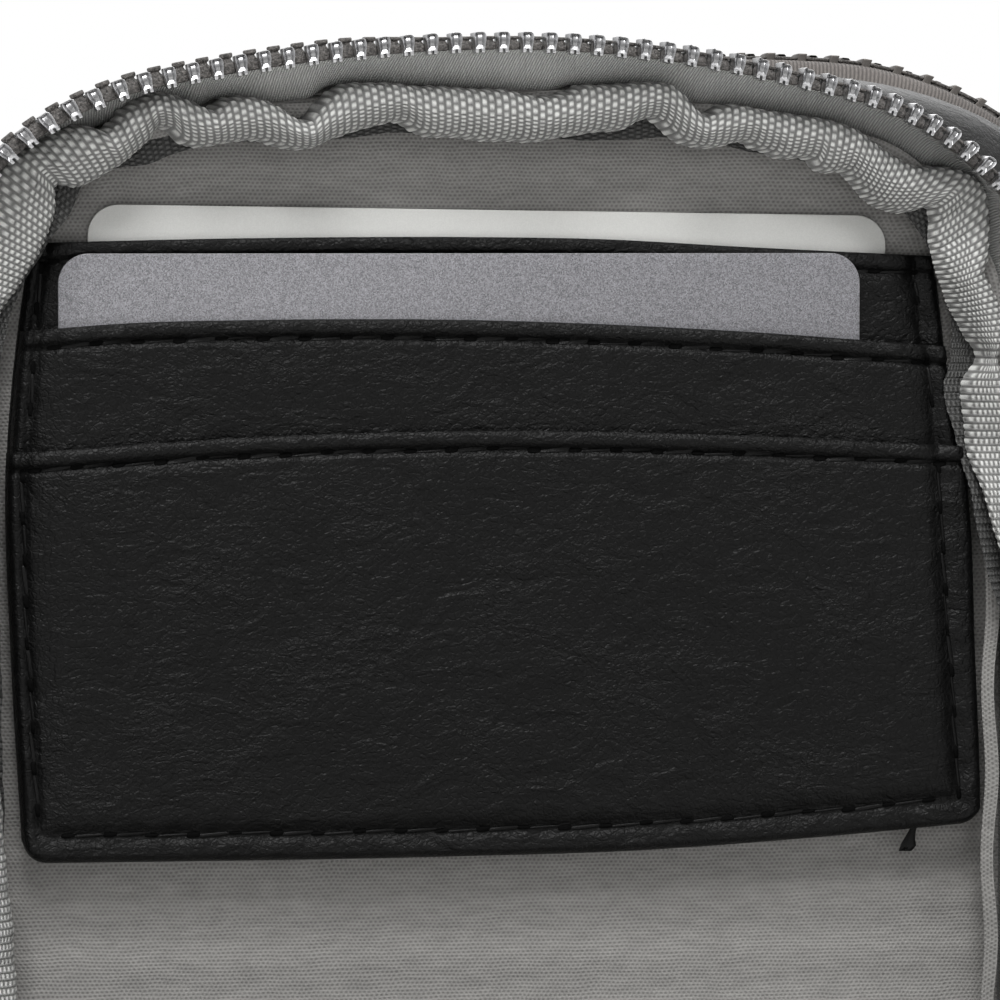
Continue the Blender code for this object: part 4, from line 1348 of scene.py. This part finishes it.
def ribbon_strip(half):
    """The ribbon of one half. The one in front follows its own edges, and shows its weave."""
    fine = half.name("ribbon") == "main_ribbon_inner"
    columns = FINE_COLUMNS if fine else RIBBON_COLUMNS
    made = flat_cut(half.name("ribbon"), 0.0, 1.0, 0.0, 1.0, columns, RIBBON_ROWS)
    share, row, _ = points_of(made).T
    if fine:
        share = np.interp(share, *zip(*FINE_SHARES))
    along = share * seam.length
    leaf = np.interp(row * RIBBON_ROWS, (0, BEHIND_ROWS, RIBBON_ROWS), (-1.0, 0.0, 1.0))
    edges = (followed if fine else puckered)(along, ribbon_phase(half))
    depth, out = leaf_shape(edges, along, leaf, fine)
    before, after = (leaf_shape(edges, along, leaf + step, fine) for step in (-LEAF_STEP, LEAF_STEP))
    turn_depth, turn_out = after[0] - before[0], after[1] - before[1]
    length = np.maximum(np.hypot(turn_depth, turn_out), 1e-7)
    columns = along / COLUMN_LENGTH
    rows = FOLD_ROW + np.sign(leaf) * weave_rows(np.abs(leaf))
    relief = WEAVE_RELIEF * (weave_height(columns, rows) - 0.5) if fine else 0.0
    move_points(made, along, depth - turn_out / length * relief, out + turn_depth / length * relief)
    write_cut(made, columns, rows)
    half.wrap(made)
    fit(made, half.body, "grey_ribbon", ribbon, half.name("binding"), angle=80, outwards=False)


for half in halves:
    ribbon_strip(half)
    print(half.name("ribbon"))

# %% [markdown]
# The ribbon binds the raw edge of the cloth, which rises from the lining beside the seam. It hardly shows,
# but it closes the gap below the ribbon.

# %% Seam allowance
# Its section from the lining to the ribbon, as depth and distance outside the seam in millimetres
ALLOWANCE = ((1.9, -1.5), (3.5, -1.7), (5.2, -1.7), (5.9, -3.2), (6.4, -3.4), (6.6, -2.0))
ALLOWANCE_COLUMNS = 420
ALLOWANCE_ROWS = 14
ALLOWANCE_WAVE = 0.0003
ALLOWANCE_WAVE_RUN = 0.0029


def allowance(half):
    """The cloth between the lining and the ribbon, a strip whose section is listed."""
    name = half.name("allowance")
    made = flat_cut(name, 0.0, seam.length, 0.0, 1.0, ALLOWANCE_COLUMNS, ALLOWANCE_ROWS)
    along, share, _ = points_of(made).T
    section = np.array(ALLOWANCE) / 1000
    spots = np.linspace(0.0, 1.0, len(ALLOWANCE))
    depth = np.interp(share, spots, section[:, 0])
    wave = ALLOWANCE_WAVE * np.sin(along / ALLOWANCE_WAVE_RUN)
    out = np.interp(share, spots, section[:, 1]) + wave * share
    width = float(np.hypot(*np.diff(section, axis=0).T).sum())
    move_points(made, along, depth, out)
    write_cut(made, along, share * width)
    half.wrap(made)
    fit(made, half.body, "grey_nylon", nylon, outwards=False)


for half in halves:
    allowance(half)
print("seam allowances made")

# %% [markdown]
# ## Panels and linings
#
# Each panel is a cut with the seam's outline. A plain grid is pulled to that outline column by column, with
# more columns near the sides, where the outline turns. Solidify gives it its thickness, and a formula on the
# distance from the seam gives the leather its padded fall towards the edge and the lining its soft waves.

# %% Cutting a panel
PANEL_COLUMNS = 70
PANEL_ROWS = 110


def reach(x, inset):
    """The lowest and highest z of the outline this far inside the seam, at these x."""
    x = np.abs(x)
    corner = CORNER_RADIUS - inset
    low = corner_z - np.sqrt(np.maximum(corner**2 - np.maximum(x - corner_x, 0.0) ** 2, 0.0))
    crown = CROWN_RADIUS - inset
    shoulder = SHOULDER_RADIUS - inset
    on_crown = crown_z + np.sqrt(crown**2 - x**2)
    on_shoulder = shoulder_z + np.sqrt(np.maximum(shoulder**2 - np.maximum(x - shoulder_x, 0.0) ** 2, 0.0))
    change = crown * math.cos(shoulder_angle)
    return low, np.where(x < change, on_crown, on_shoulder)


def panel_cut(name, inset, thickness):
    """A sheet with the seam's outline that stands on the XZ plane, its thickness behind it."""
    cut = grid(name, PANEL_COLUMNS, PANEL_ROWS)
    share_x, share_z, _ = points_of(cut).T + 0.5
    x = -np.cos(math.pi * share_x) * (HALF_WIDTH - inset)
    low, high = reach(x, inset)
    spread = (share_z + (1 - np.cos(math.pi * share_z)) / 2) / 2
    move_points(cut, x, 0.0, low + (high - low) * spread)
    with_modifier(cut, "SOLIDIFY", thickness=thickness, offset=-1.0)
    x, _, z = points_of(cut).T
    write_cut(cut, x, z)
    return cut


def waves(x, z, seed):
    """Gentle uneven waves of cloth that isn't pulled tight, from about -1 to 1."""
    first = np.sin(x / 0.013 + 1.7 * np.sin(z / 0.031 + seed) + seed)
    second = np.sin(z / 0.017 + 1.1 * np.sin(x / 0.021 + 2 * seed))
    third = np.sin((x + z) / 0.0075 + 2.1 * seed)
    return 0.45 * first + 0.35 * second + 0.20 * third


print("a panel is", round(2 * HALF_WIDTH * 1000), "mm wide")

# %% Linings
LINING_INSET = 0.0004
FAR_INSET = 0.0012
LINING_THICKNESS = 0.0005
LINING_WAVE = 0.00022
CALM_RUN = (0.004, 0.018)
FAR_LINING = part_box("back_lining")[0].y
LINING_FACE = -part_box("main_lining")[0].y


def lining(name, body, face, towards, seed, inset, opened=False):
    """A lining whose face is at this Y, looking towards -Y or +Y."""
    made = panel_cut(name + "_cloth", inset, LINING_THICKNESS)
    x, y, z = points_of(made).T
    calm = smooth_step(depth_inside(x, z), *CALM_RUN)
    wave = LINING_WAVE * (0.5 + 0.5 * waves(x, z, seed)) * calm
    back = face if towards < 0 else face - LINING_THICKNESS
    move_points(made, x, back + y + towards * wave, z)
    swell(made, opened)
    fit(made, body, "grey_nylon", nylon, name)


lining("main_lining", "middle", -LINING_FACE, -1, 0.4, LINING_INSET)
lining("rear_lining", "middle", LINING_FACE, 1, 1.9, LINING_INSET)
lining("front_lining", "front_flap", -FAR_LINING, 1, 3.1, FAR_INSET, True)
lining("back_lining", "back_flap", FAR_LINING, -1, 4.6, FAR_INSET)
print("linings in place")

# %% [markdown]
# ## Outer panels, band and piping
#
# The leather of the outer panels is drawn over foam, so it falls away towards its piping. The piping is a
# cord in a leather sleeve, and the band between the zips is rounded in the same way. Both are rings, so both
# start as a torus, whose turns are laid along the seam line.

# %% Padded leather panels
PANEL_FALL = 0.0010
PANEL_FALL_RUN = 0.0100
LEATHER_THICKNESS = 0.0012
LEATHER_UNDER = 0.0006
LEATHER_RIPPLE = 0.00018
RIPPLE_RUN = (0.006, 0.020)
OUTER_MARGIN = 0.0003
OUTER_FACE = panel_high.y


def outer_panel(name, body, side, seed, opened=False):
    """The leather of a turning panel, padded towards its middle."""
    made = panel_cut(name + "_leather", -LEATHER_UNDER, LEATHER_THICKNESS)
    x, y, z = points_of(made).T
    inside = depth_inside(x, z)
    fall = PANEL_FALL * (1 - smooth_step(inside, 0.0, PANEL_FALL_RUN))
    ripple = LEATHER_RIPPLE * waves(x * 1.6, z * 1.6, seed) * smooth_step(inside, *RIPPLE_RUN)
    face = OUTER_FACE - LEATHER_THICKNESS / 2 - fall - OUTER_MARGIN + ripple
    move_points(made, x, side * face + y - LEATHER_THICKNESS / 2, z)
    swell(made, opened)
    fit(made, body, "black_leather", outer_leather, name)


outer_panel("front_panel", "front_flap", -1, 0.7, True)
outer_panel("back_panel", "back_flap", 1, 2.2)
print("outer panels in place")

# %% Rings round the seam
PIPING_RADIUS = 0.0013
TRIM_OUTSIDE = 0.0016
RING_TURNS = 540
BAND_SIDES = 28
PIPING_SIDES = 16
BAND_POWER = 0.55


def ring_round(name, body, depth, half_depth, power, sides, opened=False):
    """A leather ring along the seam. Its section is round, or nearer a box with a power below 1."""
    ring, share, angle = torus(name + "_leather", RING_TURNS, sides)
    cos, sin = np.cos(angle), np.sin(angle)
    out = PIPING_RADIUS * np.sign(cos) * np.abs(cos) ** power
    deep = half_depth * np.sign(sin) * np.abs(sin) ** power
    line = SeamLine(TRIM_OUTSIDE)
    at_x, at_z, out_x, out_z = line.at(share * line.length)
    move_points(ring, at_x + out_x * out, depth + deep, at_z + out_z * out)
    swell(ring, opened)
    fit(ring, body, "black_leather", outer_leather, name, angle=80)


# The band is as deep as the frame's own, and each piping lies at the depth of the hinge
ring_round("middle_band", "middle", 0.0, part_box("middle_band")[1].y, BAND_POWER, BAND_SIDES)
ring_round("front_piping", "front_flap", HINGE_Y, PIPING_RADIUS, 1.0, PIPING_SIDES, True)
ring_round("back_piping", "back_flap", -HINGE_Y, PIPING_RADIUS, 1.0, PIPING_SIDES)
print("band and piping in place")

# %% [markdown]
# ## Gussets
#
# Below the zip each compartment is closed by a gusset, a leather strip with a nylon one inside it. Both run
# from one side under the bag to the other, so their length starts before the middle of the bottom and ends
# after it.

# %% Gussets
GUSSET_SAG = 0.0004
GUSSET_COLUMNS = 160
GUSSET_ROWS = 24

# How far outside the seam each layer lies, its thickness, its slot and its finish
GUSSET_LAYERS = {
    "gusset": (0.0009, 0.0012, "black_leather", outer_leather),
    "gusset_lining": (-0.00025, 0.0005, "grey_nylon", nylon),
}


def gusset(space, layer, side):
    """A strip round the bottom, as deep as the frame's rear one."""
    outside, thickness, slot, finish = GUSSET_LAYERS[layer]
    low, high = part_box("rear_" + layer)
    near, far = low.y, high.y
    name = f"{space}_{layer}_strip"
    made = flat_cut(name, -gusset_half, gusset_half, near, far, GUSSET_COLUMNS, GUSSET_ROWS)
    along, depth, out = points_of(made).T
    middle = (near + far) / 2
    bow = 1 - ((depth - middle) / (far - near) * 2) ** 2
    sag = GUSSET_SAG * bow * np.abs(waves(along, depth, 2.0))
    move_points(made, along, depth, outside + thickness / 2 - sag)
    with_modifier(made, "SOLIDIFY", thickness=thickness, offset=-1.0)
    along, depth, out = points_of(made).T
    write_cut(made, along, depth)
    move_points(made, along, side * depth, out)
    bend_round(made)
    fit(made, "middle", slot, finish, f"{space}_{layer}")


for space, side in (("main", -1), ("rear", 1)):
    for layer in GUSSET_LAYERS:
        gusset(space, layer, side)
print("gussets in place")

# %% [markdown]
# ## Card pocket
#
# Three leather layers lie over each other, the lower ones longer. Each has a folded band along its top and is
# sewn down along its sides and its bottom, where it sinks to the lining. The face of a layer is written as a
# formula of the distance from its edges, which the stitches then use too, so that they lie in their groove.

# %% The face of a layer
STITCH_PITCH = 0.0044
FOLD_HEIGHT = 0.00175
SINK_RUN = 0.0011
STITCH_INSET = 0.0020
LEFT_INSET = 0.0018
FOOT_INSET = 0.0031
GROOVE = 0.00055
GROOVE_RUN = 0.00055
SINK_DEPTH = 0.0023
SHOULDER_FALL = 0.0006
SHOULDER_RUN = 0.006
UNDER_FOLD = 0.0002
GATHER = 0.00010
FOLD_GATHER = 0.00007
GATHER_RUN = 0.0012

# The sides, the right seam and the bottom of the whole pocket, in millimetres
left_side = ((90.0, -49.2), (95.0, -49.4), (116.0, -50.5), (138.0, -50.9), (150.0, -49.8), (159.5, -48.4))
right_side = (
    (90.0, 53.8), (100.7, 53.7), (117.8, 53.0), (128.4, 52.6), (137.0, 51.8), (146.0, 50.6), (159.0, 49.0),
)
right_seam = (
    (90.0, 51.2), (100.0, 51.0), (112.0, 50.2), (117.0, 49.8), (128.0, 49.0), (138.0, 48.5), (159.0, 46.4),
)
pocket_foot = ((-52.0, 94.6), (-5.0, 94.6), (15.0, 94.9), (35.0, 96.0), (53.0, 97.4))

# The top edge of each layer, from left to right
back_top = ((-52.0, 159.9), (-25.0, 160.5), (0.0, 160.6), (12.0, 160.4), (27.0, 159.6), (52.0, 158.4))
middle_top = ((-52.0, 150.5), (-38.0, 151.6), (-25.0, 151.9), (0.0, 151.8), (25.0, 150.7), (52.0, 148.7))
front_top = ((-52.0, 137.9), (-25.0, 139.6), (0.0, 140.15), (25.0, 139.6), (52.0, 138.2))


def bell(value, middle, run):
    """1 at the middle, and falling away to 0 on both sides of it."""
    return np.exp(-(((value - middle) / run) ** 2))


def arc(share):
    """0 at 0, rising steeply and then evenly to 1 at 1, like a quarter of a circle."""
    return np.sqrt(np.clip(1 - (1 - share) ** 2, 0, 1))


class Layer:
    """One layer of the pocket: its outline and the depth of its face."""

    def __init__(self, name, top, face, narrower, shorter, corner, soft, fold_rise):
        self.name = name
        self.top = top
        self.face_depth = face
        self.narrower = narrower
        self.shorter = shorter
        self.corner = corner
        self.soft = soft
        self.fold_rise = fold_rise

    def left(self, z):
        return followed_line(left_side, z) + self.narrower

    def right(self, z):
        return followed_line(right_side, z) - self.narrower

    def foot(self, x):
        low = followed_line(pocket_foot, x) + self.shorter
        side = np.minimum(x - self.left(low), self.right(low) - x)
        gone = np.clip(self.corner - side, 0.0, self.corner)
        return low + self.corner - np.sqrt(self.corner**2 - gone**2)

    def head(self, x):
        return followed_line(self.top, x)

    def face(self, x, z):
        """The Y of the layer's face."""
        from_left = x - self.left(z)
        from_right = self.right(z) - x
        from_foot = z - self.foot(x)
        below = self.head(x) - z
        side = np.minimum(from_left, from_right)
        edge = np.minimum(side, from_foot)
        sink = SINK_DEPTH * (1 - arc(np.clip(edge / SINK_RUN, 0, 1)))
        seams = from_left / LEFT_INSET, from_right / (self.right(z) - followed_line(right_seam, z))
        sewn = np.minimum(np.minimum(*seams), from_foot / FOOT_INSET) * STITCH_INSET
        groove = GROOVE * bell(sewn, STITCH_INSET, GROOVE_RUN)
        beyond = smooth_step(edge, SINK_RUN, SHOULDER_RUN)
        fold = self.fold_rise * arc(2 * below / FOLD_HEIGHT)
        crease = 0.8 * GROOVE * bell(below, FOLD_HEIGHT + UNDER_FOLD, 0.7 * GROOVE_RUN)
        ripple = np.cos(2 * math.pi * np.where(side < from_foot, z, x) / STITCH_PITCH)
        gather = GATHER * ripple * bell(sewn, STITCH_INSET, GATHER_RUN)
        pull = FOLD_GATHER * np.cos(2 * math.pi * x / STITCH_PITCH) * bell(below, FOLD_HEIGHT, GATHER_RUN)
        soft = self.soft * waves(x, z, self.face_depth * 10000) * beyond
        raised = fold + gather + pull + soft
        return SHOULDER_FALL * (1 - beyond) + sink + groove + crease - raised - self.face_depth


# Name, top edge, depth of the face, how much narrower and shorter it is, corner, waves and rise of the fold
layers = (
    Layer("pocket_back_layer", back_top, 0.00380, 0.0, 0.020, 0.001, 0.00008, 0.00030),
    Layer("pocket_middle_layer", middle_top, 0.00612, 0.0004, 0.010, 0.001, 0.00022, 0.00040),
    Layer("pocket_front_layer", front_top, 0.00722, 0.0, 0.0, 0.0026, 0.00022, 0.00040),
)
print("layers:", [layer.name for layer in layers])

# %% Cutting and folding the layers
LAYER_COLUMNS = 190
LAYER_ROWS = 120
POCKET_LEATHER = 0.0008

# A first guess at the height of each row, which is then brought to the layer's own edges
POCKET_FOOT = 0.095
POCKET_HEIGHT = 0.055


def pocket_layer(layer):
    """One layer as a sheet whose face follows the layer's formula."""
    made = grid(layer.name + "_leather", LAYER_COLUMNS, LAYER_ROWS)
    even = points_of(made).T + 0.5
    share_x, share_z, _ = (even + (1 - np.cos(math.pi * even)) / 2) / 2
    z = POCKET_FOOT + share_z * POCKET_HEIGHT
    x = np.zeros_like(z)
    for _ in range(4):
        x = layer.left(z) + (layer.right(z) - layer.left(z)) * share_x
        z = layer.foot(x) + (layer.head(x) - layer.foot(x)) * share_z
    move_points(made, x, layer.face(x, z), z)
    with_modifier(made, "SOLIDIFY", thickness=POCKET_LEATHER, offset=-1.0)
    fit(made, "middle", "pocket_leather", soft_leather, layer.name, angle=60)
    height = float(layer.head(0.0) - layer.foot(0.0))


for layer in layers:
    pocket_layer(layer)
print("pocket layers made")

# %% [markdown]
# ## Stitches
#
# A stitch is a short length of thread that dips into the leather at both ends, into a needle hole. The
# thread is modelled from a sphere, and so is a very dark knot at each hole, which is painted shade for the
# depth of the hole. An Array makes a row of each, and the rows are laid along their line on the face of the
# layer.

# %% Rows of stitches
STITCH_LENGTH = 0.0034
STITCH_THICK = 0.00040
STITCH_SLANT = 0.05
STITCH_DRIFT = 0.00009
STITCH_SIDES = 10
STITCH_RINGS = 9
# Sizes of the very dark knots at the needle holes, which are painted shade
DIP_LENGTH = 0.0015
DIP_THICK = 0.00048
DIP_RAISE = 0.00008

# How far ahead and back a thread looks for the direction of its row
AHEAD = 0.0005


def laid_row(name, layer, route, finish, length, thick, fullness, raised=0.0, spare=0):
    """A row of threads on a layer, along its route of (x, z) places. Dips need a spare one at the end."""
    steps = np.hypot(*np.diff(route, axis=0).T)
    passed = np.concatenate(([0.0], np.cumsum(steps)))
    count = int(passed[-1] / STITCH_PITCH) + spare
    deselect()
    bpy.ops.mesh.primitive_uv_sphere_add(
        segments=STITCH_SIDES, ring_count=STITCH_RINGS, radius=0.5, rotation=(0, math.pi / 2, 0)
    )
    row = just_added(name)
    settle(row)
    x, y, z = points_of(row).T
    fuller = np.sign(x) * 0.5 * (1 - (1 - 2 * np.abs(x)) ** 2) ** fullness
    bend = -STITCH_THICK * 0.5 * (2 * x) ** 4
    move_points(row, fuller * length, y * thick + STITCH_SLANT * fuller * length, z * STITCH_THICK + bend)
    repeat(row, count, STITCH_PITCH)
    along, across, out = points_of(row).T
    uneven = np.floor(along / STITCH_PITCH + 0.5)
    across = across * (1 + 0.25 * np.sin(uneven * 2.7)) + STITCH_DRIFT * np.sin(uneven * 1.9)
    along = along + (passed[-1] - (count - 1) * STITCH_PITCH) / 2
    before, here, after = (
        [np.interp(along + step, passed, column) for column in route.T] for step in (-AHEAD, 0.0, AHEAD)
    )
    turn_x, turn_z = after[0] - before[0], after[1] - before[1]
    reached = np.maximum(np.hypot(turn_x, turn_z), 1e-6)
    x = here[0] - across * turn_z / reached
    z = here[1] + across * turn_x / reached
    move_points(row, x, layer.face(x, z) - out - raised, z)
    fit(row, "middle", "pocket_leather", finish)


def stitch_row(name, layer, xs, zs):
    """The threads of a seam, and the very dark knots where they dip, which are painted shade for the needle
    holes.
    """
    route = np.column_stack(np.broadcast_arrays(xs, zs))
    laid_row(name, layer, route, thread, STITCH_LENGTH, STITCH_THICK, 0.5)
    # The dark knots are painted shade for the needle holes
    laid_row(name + "_hole_shade", layer, route, needle_hole_shade, DIP_LENGTH, DIP_THICK, 1.1, DIP_RAISE, 1)


print("a stitch every", STITCH_PITCH * 1000, "mm")

# %% Sewing the pocket
TOP_SPAN = 0.040
RIGHT_STARTS = 0.001
FOOT_SPAN = (-0.0465, 0.0495)
MARKS_ACROSS = 40
MARKS_UP = 20

# The heights between which each layer is sewn down at its sides
SIDE_SPANS = ((0.1525, 0.1580), (0.1405, 0.1490), (0.0985, 0.1375))

for layer in layers:
    start = layer.left(layer.head(-TOP_SPAN)) + STITCH_INSET
    end = layer.right(layer.head(TOP_SPAN)) - STITCH_INSET
    xs = np.linspace(start, end, MARKS_ACROSS)
    stitch_row(layer.name + "_stitches", layer, xs, layer.head(xs) - FOLD_HEIGHT - UNDER_FOLD)
for layer, (low, high) in zip(layers, SIDE_SPANS):
    zs = np.linspace(low, high, MARKS_UP)
    stitch_row(layer.name + "_left_stitches", layer, layer.left(zs) + LEFT_INSET, zs)
    zs = np.linspace(low + RIGHT_STARTS, high, MARKS_UP)
    stitch_row(layer.name + "_right_stitches", layer, followed_line(right_seam, zs), zs)
xs = np.linspace(*FOOT_SPAN, MARKS_ACROSS)
stitch_row("pocket_foot_stitches", layers[-1], xs, layers[-1].foot(xs) + FOOT_INSET)
print("pocket sewn")

# %% [markdown]
# One thread's end sticks out below the pocket's right corner. It is a cone that is cut into short stretches,
# flattened, bent, and frayed at its lower end, which is the wide one.

# %% A loose thread end
TUFT_PLACE = (0.0462, -0.0042, 0.0962)
TUFT_HEIGHT = 0.0030
TUFT_FOOT = 0.00075
TUFT_TOP = 0.00022
TUFT_FLAT = 0.5
TUFT_SIDES = 11
TUFT_CUTS = 3
FRAY = 0.0003
FRAY_RUN = (-0.0005, 0.0015)
TUFT_BEND = 0.0004
TUFT_BEND_RUN = 0.0009

deselect()
bpy.ops.mesh.primitive_cone_add(
    vertices=TUFT_SIDES, radius1=TUFT_FOOT, radius2=TUFT_TOP, depth=TUFT_HEIGHT, location=TUFT_PLACE
)
tuft = just_added("thread_tuft")
settle(tuft)
edit_all(tuft)
bpy.ops.mesh.subdivide(number_cuts=TUFT_CUTS)
bpy.ops.object.mode_set(mode="OBJECT")
x, y, z = points_of(tuft).T - np.array(TUFT_PLACE)[:, None]
frayed = smooth_step(-z, *FRAY_RUN) * FRAY * np.sin(np.arctan2(y, x) * 5)
bent = TUFT_BEND * np.sin(z / TUFT_BEND_RUN)
near_x, near_y, near_z = TUFT_PLACE
move_points(tuft, near_x + x + frayed + bent, near_y + y * TUFT_FLAT, near_z + z + frayed)
fit(tuft, "middle", "pocket_leather", thread, outwards=False)
print("one thread end left loose")

# %% [markdown]
# ## Cards
#
# A card is a thin plate with round corners and softened edges. The four upright edges of a flat cube are
# bevelled with several segments, and then all its sharp edges with a small one.

# %% Two cards
CARD_WIDTH = 0.0856
CARD_HEIGHT = 0.0540
CARD_THICKNESS = 0.00076
CARD_CORNER = 0.0032
CARD_CORNER_STEPS = 10
CARD_EDGE = 0.00010
WHITE_CARD_TILT = math.radians(0.8)


def card(name, tilt, slot, finish):
    """A card that stands where the frame's card stands."""
    low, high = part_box(name)
    made = block(name + "_plate", (CARD_WIDTH, CARD_THICKNESS, CARD_HEIGHT))
    y = points_of(made)[:, 1]
    edit_some(made, "EDGE", lambda edge: y[edge.vertices[0]] * y[edge.vertices[1]] < 0)
    bpy.ops.mesh.bevel(offset=CARD_CORNER, segments=CARD_CORNER_STEPS)
    bpy.ops.object.mode_set(mode="OBJECT")
    soften(made, CARD_EDGE, 60)
    made.rotation_euler = (0.0, tilt, 0.0)
    made.location = (low + high) / 2
    settle(made)
    fit(made, name, slot, finish, name, angle=40, outwards=False)


card("white_card", WHITE_CARD_TILT, "white_plastic", white_print)
card("silver_card", 0.0, "silver_plastic", silver_print)
print("cards made")

# %% [markdown]
# ## Metal fittings and strap tabs
#
# The frame's sliders, pullers, stops and tabs already have the right shape. A copy of each is merged, its
# flat faces are joined, and its edges are bevelled, so that they catch the light as cast metal does. The
# D-rings are bent from round wire, so they are a torus laid along the ring's own line.

# %% Bevelled copies
SLIDER_EDGE = 0.00015
PULLER_EDGE = 0.00020
STOP_EDGE = 0.00030
TAB_EDGE = 0.00020


def bevelled_copy(node, body, width, slot="nickel", finish=nickel):
    """A piece of the frame with softened edges, in place of its node."""
    made = bpy.data.objects.new(node + "_finished", frame["nodes"][node].data.copy())
    bpy.context.scene.collection.objects.link(made)
    facing_out(made)
    edit_all(made)
    bpy.ops.mesh.dissolve_limited(angle_limit=math.radians(1))
    bpy.ops.object.mode_set(mode="OBJECT")
    soften(made, width)
    fit(made, body, slot, finish, node, angle=35, outwards=False)


for space, flap in (("main", "front_flap"), ("rear", "back_flap")):
    bevelled_copy(f"{space}_slider", f"{space}_slider", SLIDER_EDGE)
    bevelled_copy(f"{space}_puller", f"{space}_puller", PULLER_EDGE)
    bevelled_copy(f"{space}_end_stop", "middle", STOP_EDGE)
    bevelled_copy(f"{space}_top_stop_inner", "middle", STOP_EDGE)
    bevelled_copy(f"{space}_top_stop_outer", flap, STOP_EDGE)
for side in ("left", "right"):
    bevelled_copy(f"{side}_strap_tab", "middle", TAB_EDGE, "black_leather", outer_leather)
print("fittings copied")

# %% D-rings
RING_WIRE = 0.0010
RING_HALF = 0.0060
RING_STRAIGHT = 0.0040
RING_CORNER = 0.0010
RING_ROUNDED = 0.0006
BOW_STEPS = 40
WIRE_TURNS = 160
WIRE_SIDES = 14


def d_ring(side):
    """A wire ring with a straight bar at its top and a round bow at its foot."""
    node = side + "_d_ring"
    low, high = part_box(node)
    flat = RING_HALF - RING_CORNER
    turn = np.linspace(0.0, math.pi, BOW_STEPS + 1)
    across = np.concatenate(([-RING_HALF, -flat, flat, RING_HALF], RING_HALF * np.cos(turn), [-RING_HALF]))
    bow = -RING_STRAIGHT - RING_HALF * np.sin(turn)
    down = np.concatenate(([-RING_CORNER, 0.0, 0.0, -RING_CORNER], bow, [-RING_CORNER]))
    passed = np.concatenate(([0.0], np.cumsum(np.hypot(np.diff(across), np.diff(down)))))
    ring, share, angle = torus(node + "_wire", WIRE_TURNS, WIRE_SIDES)
    before, here, after = (
        [np.interp((share * passed[-1] + step) % passed[-1], passed, column) for column in (across, down)]
        for step in (-RING_ROUNDED, 0.0, RING_ROUNDED)
    )
    turn_y, turn_z = after[0] - before[0], after[1] - before[1]
    wide = RING_WIRE * np.cos(angle) / np.hypot(turn_y, turn_z)
    x = (low.x + high.x) / 2 + RING_WIRE * np.sin(angle)
    y = (before[0] + here[0] + after[0]) / 3 - turn_z * wide
    z = (before[1] + here[1] + after[1]) / 3 + turn_y * wide
    move_points(ring, x, y, high.z - RING_WIRE + z)
    fit(ring, side + "_ring", "nickel", nickel, node, angle=80)


for side in ("left", "right"):
    d_ring(side)
print("D-rings bent")

# %% [markdown]
# ## Foam boards
#
# The stiffeners between lining and leather hardly show, so the frame's own nodes stay and get a foam finish.

# %% Stiffeners
for node in ("middle_stiffener", "front_stiffener", "back_stiffener"):
    stiffener = frame["nodes"][node]
    stiffener.data.materials.clear()
    stiffener.data.materials.append(foam_board)
print("stiffeners finished")
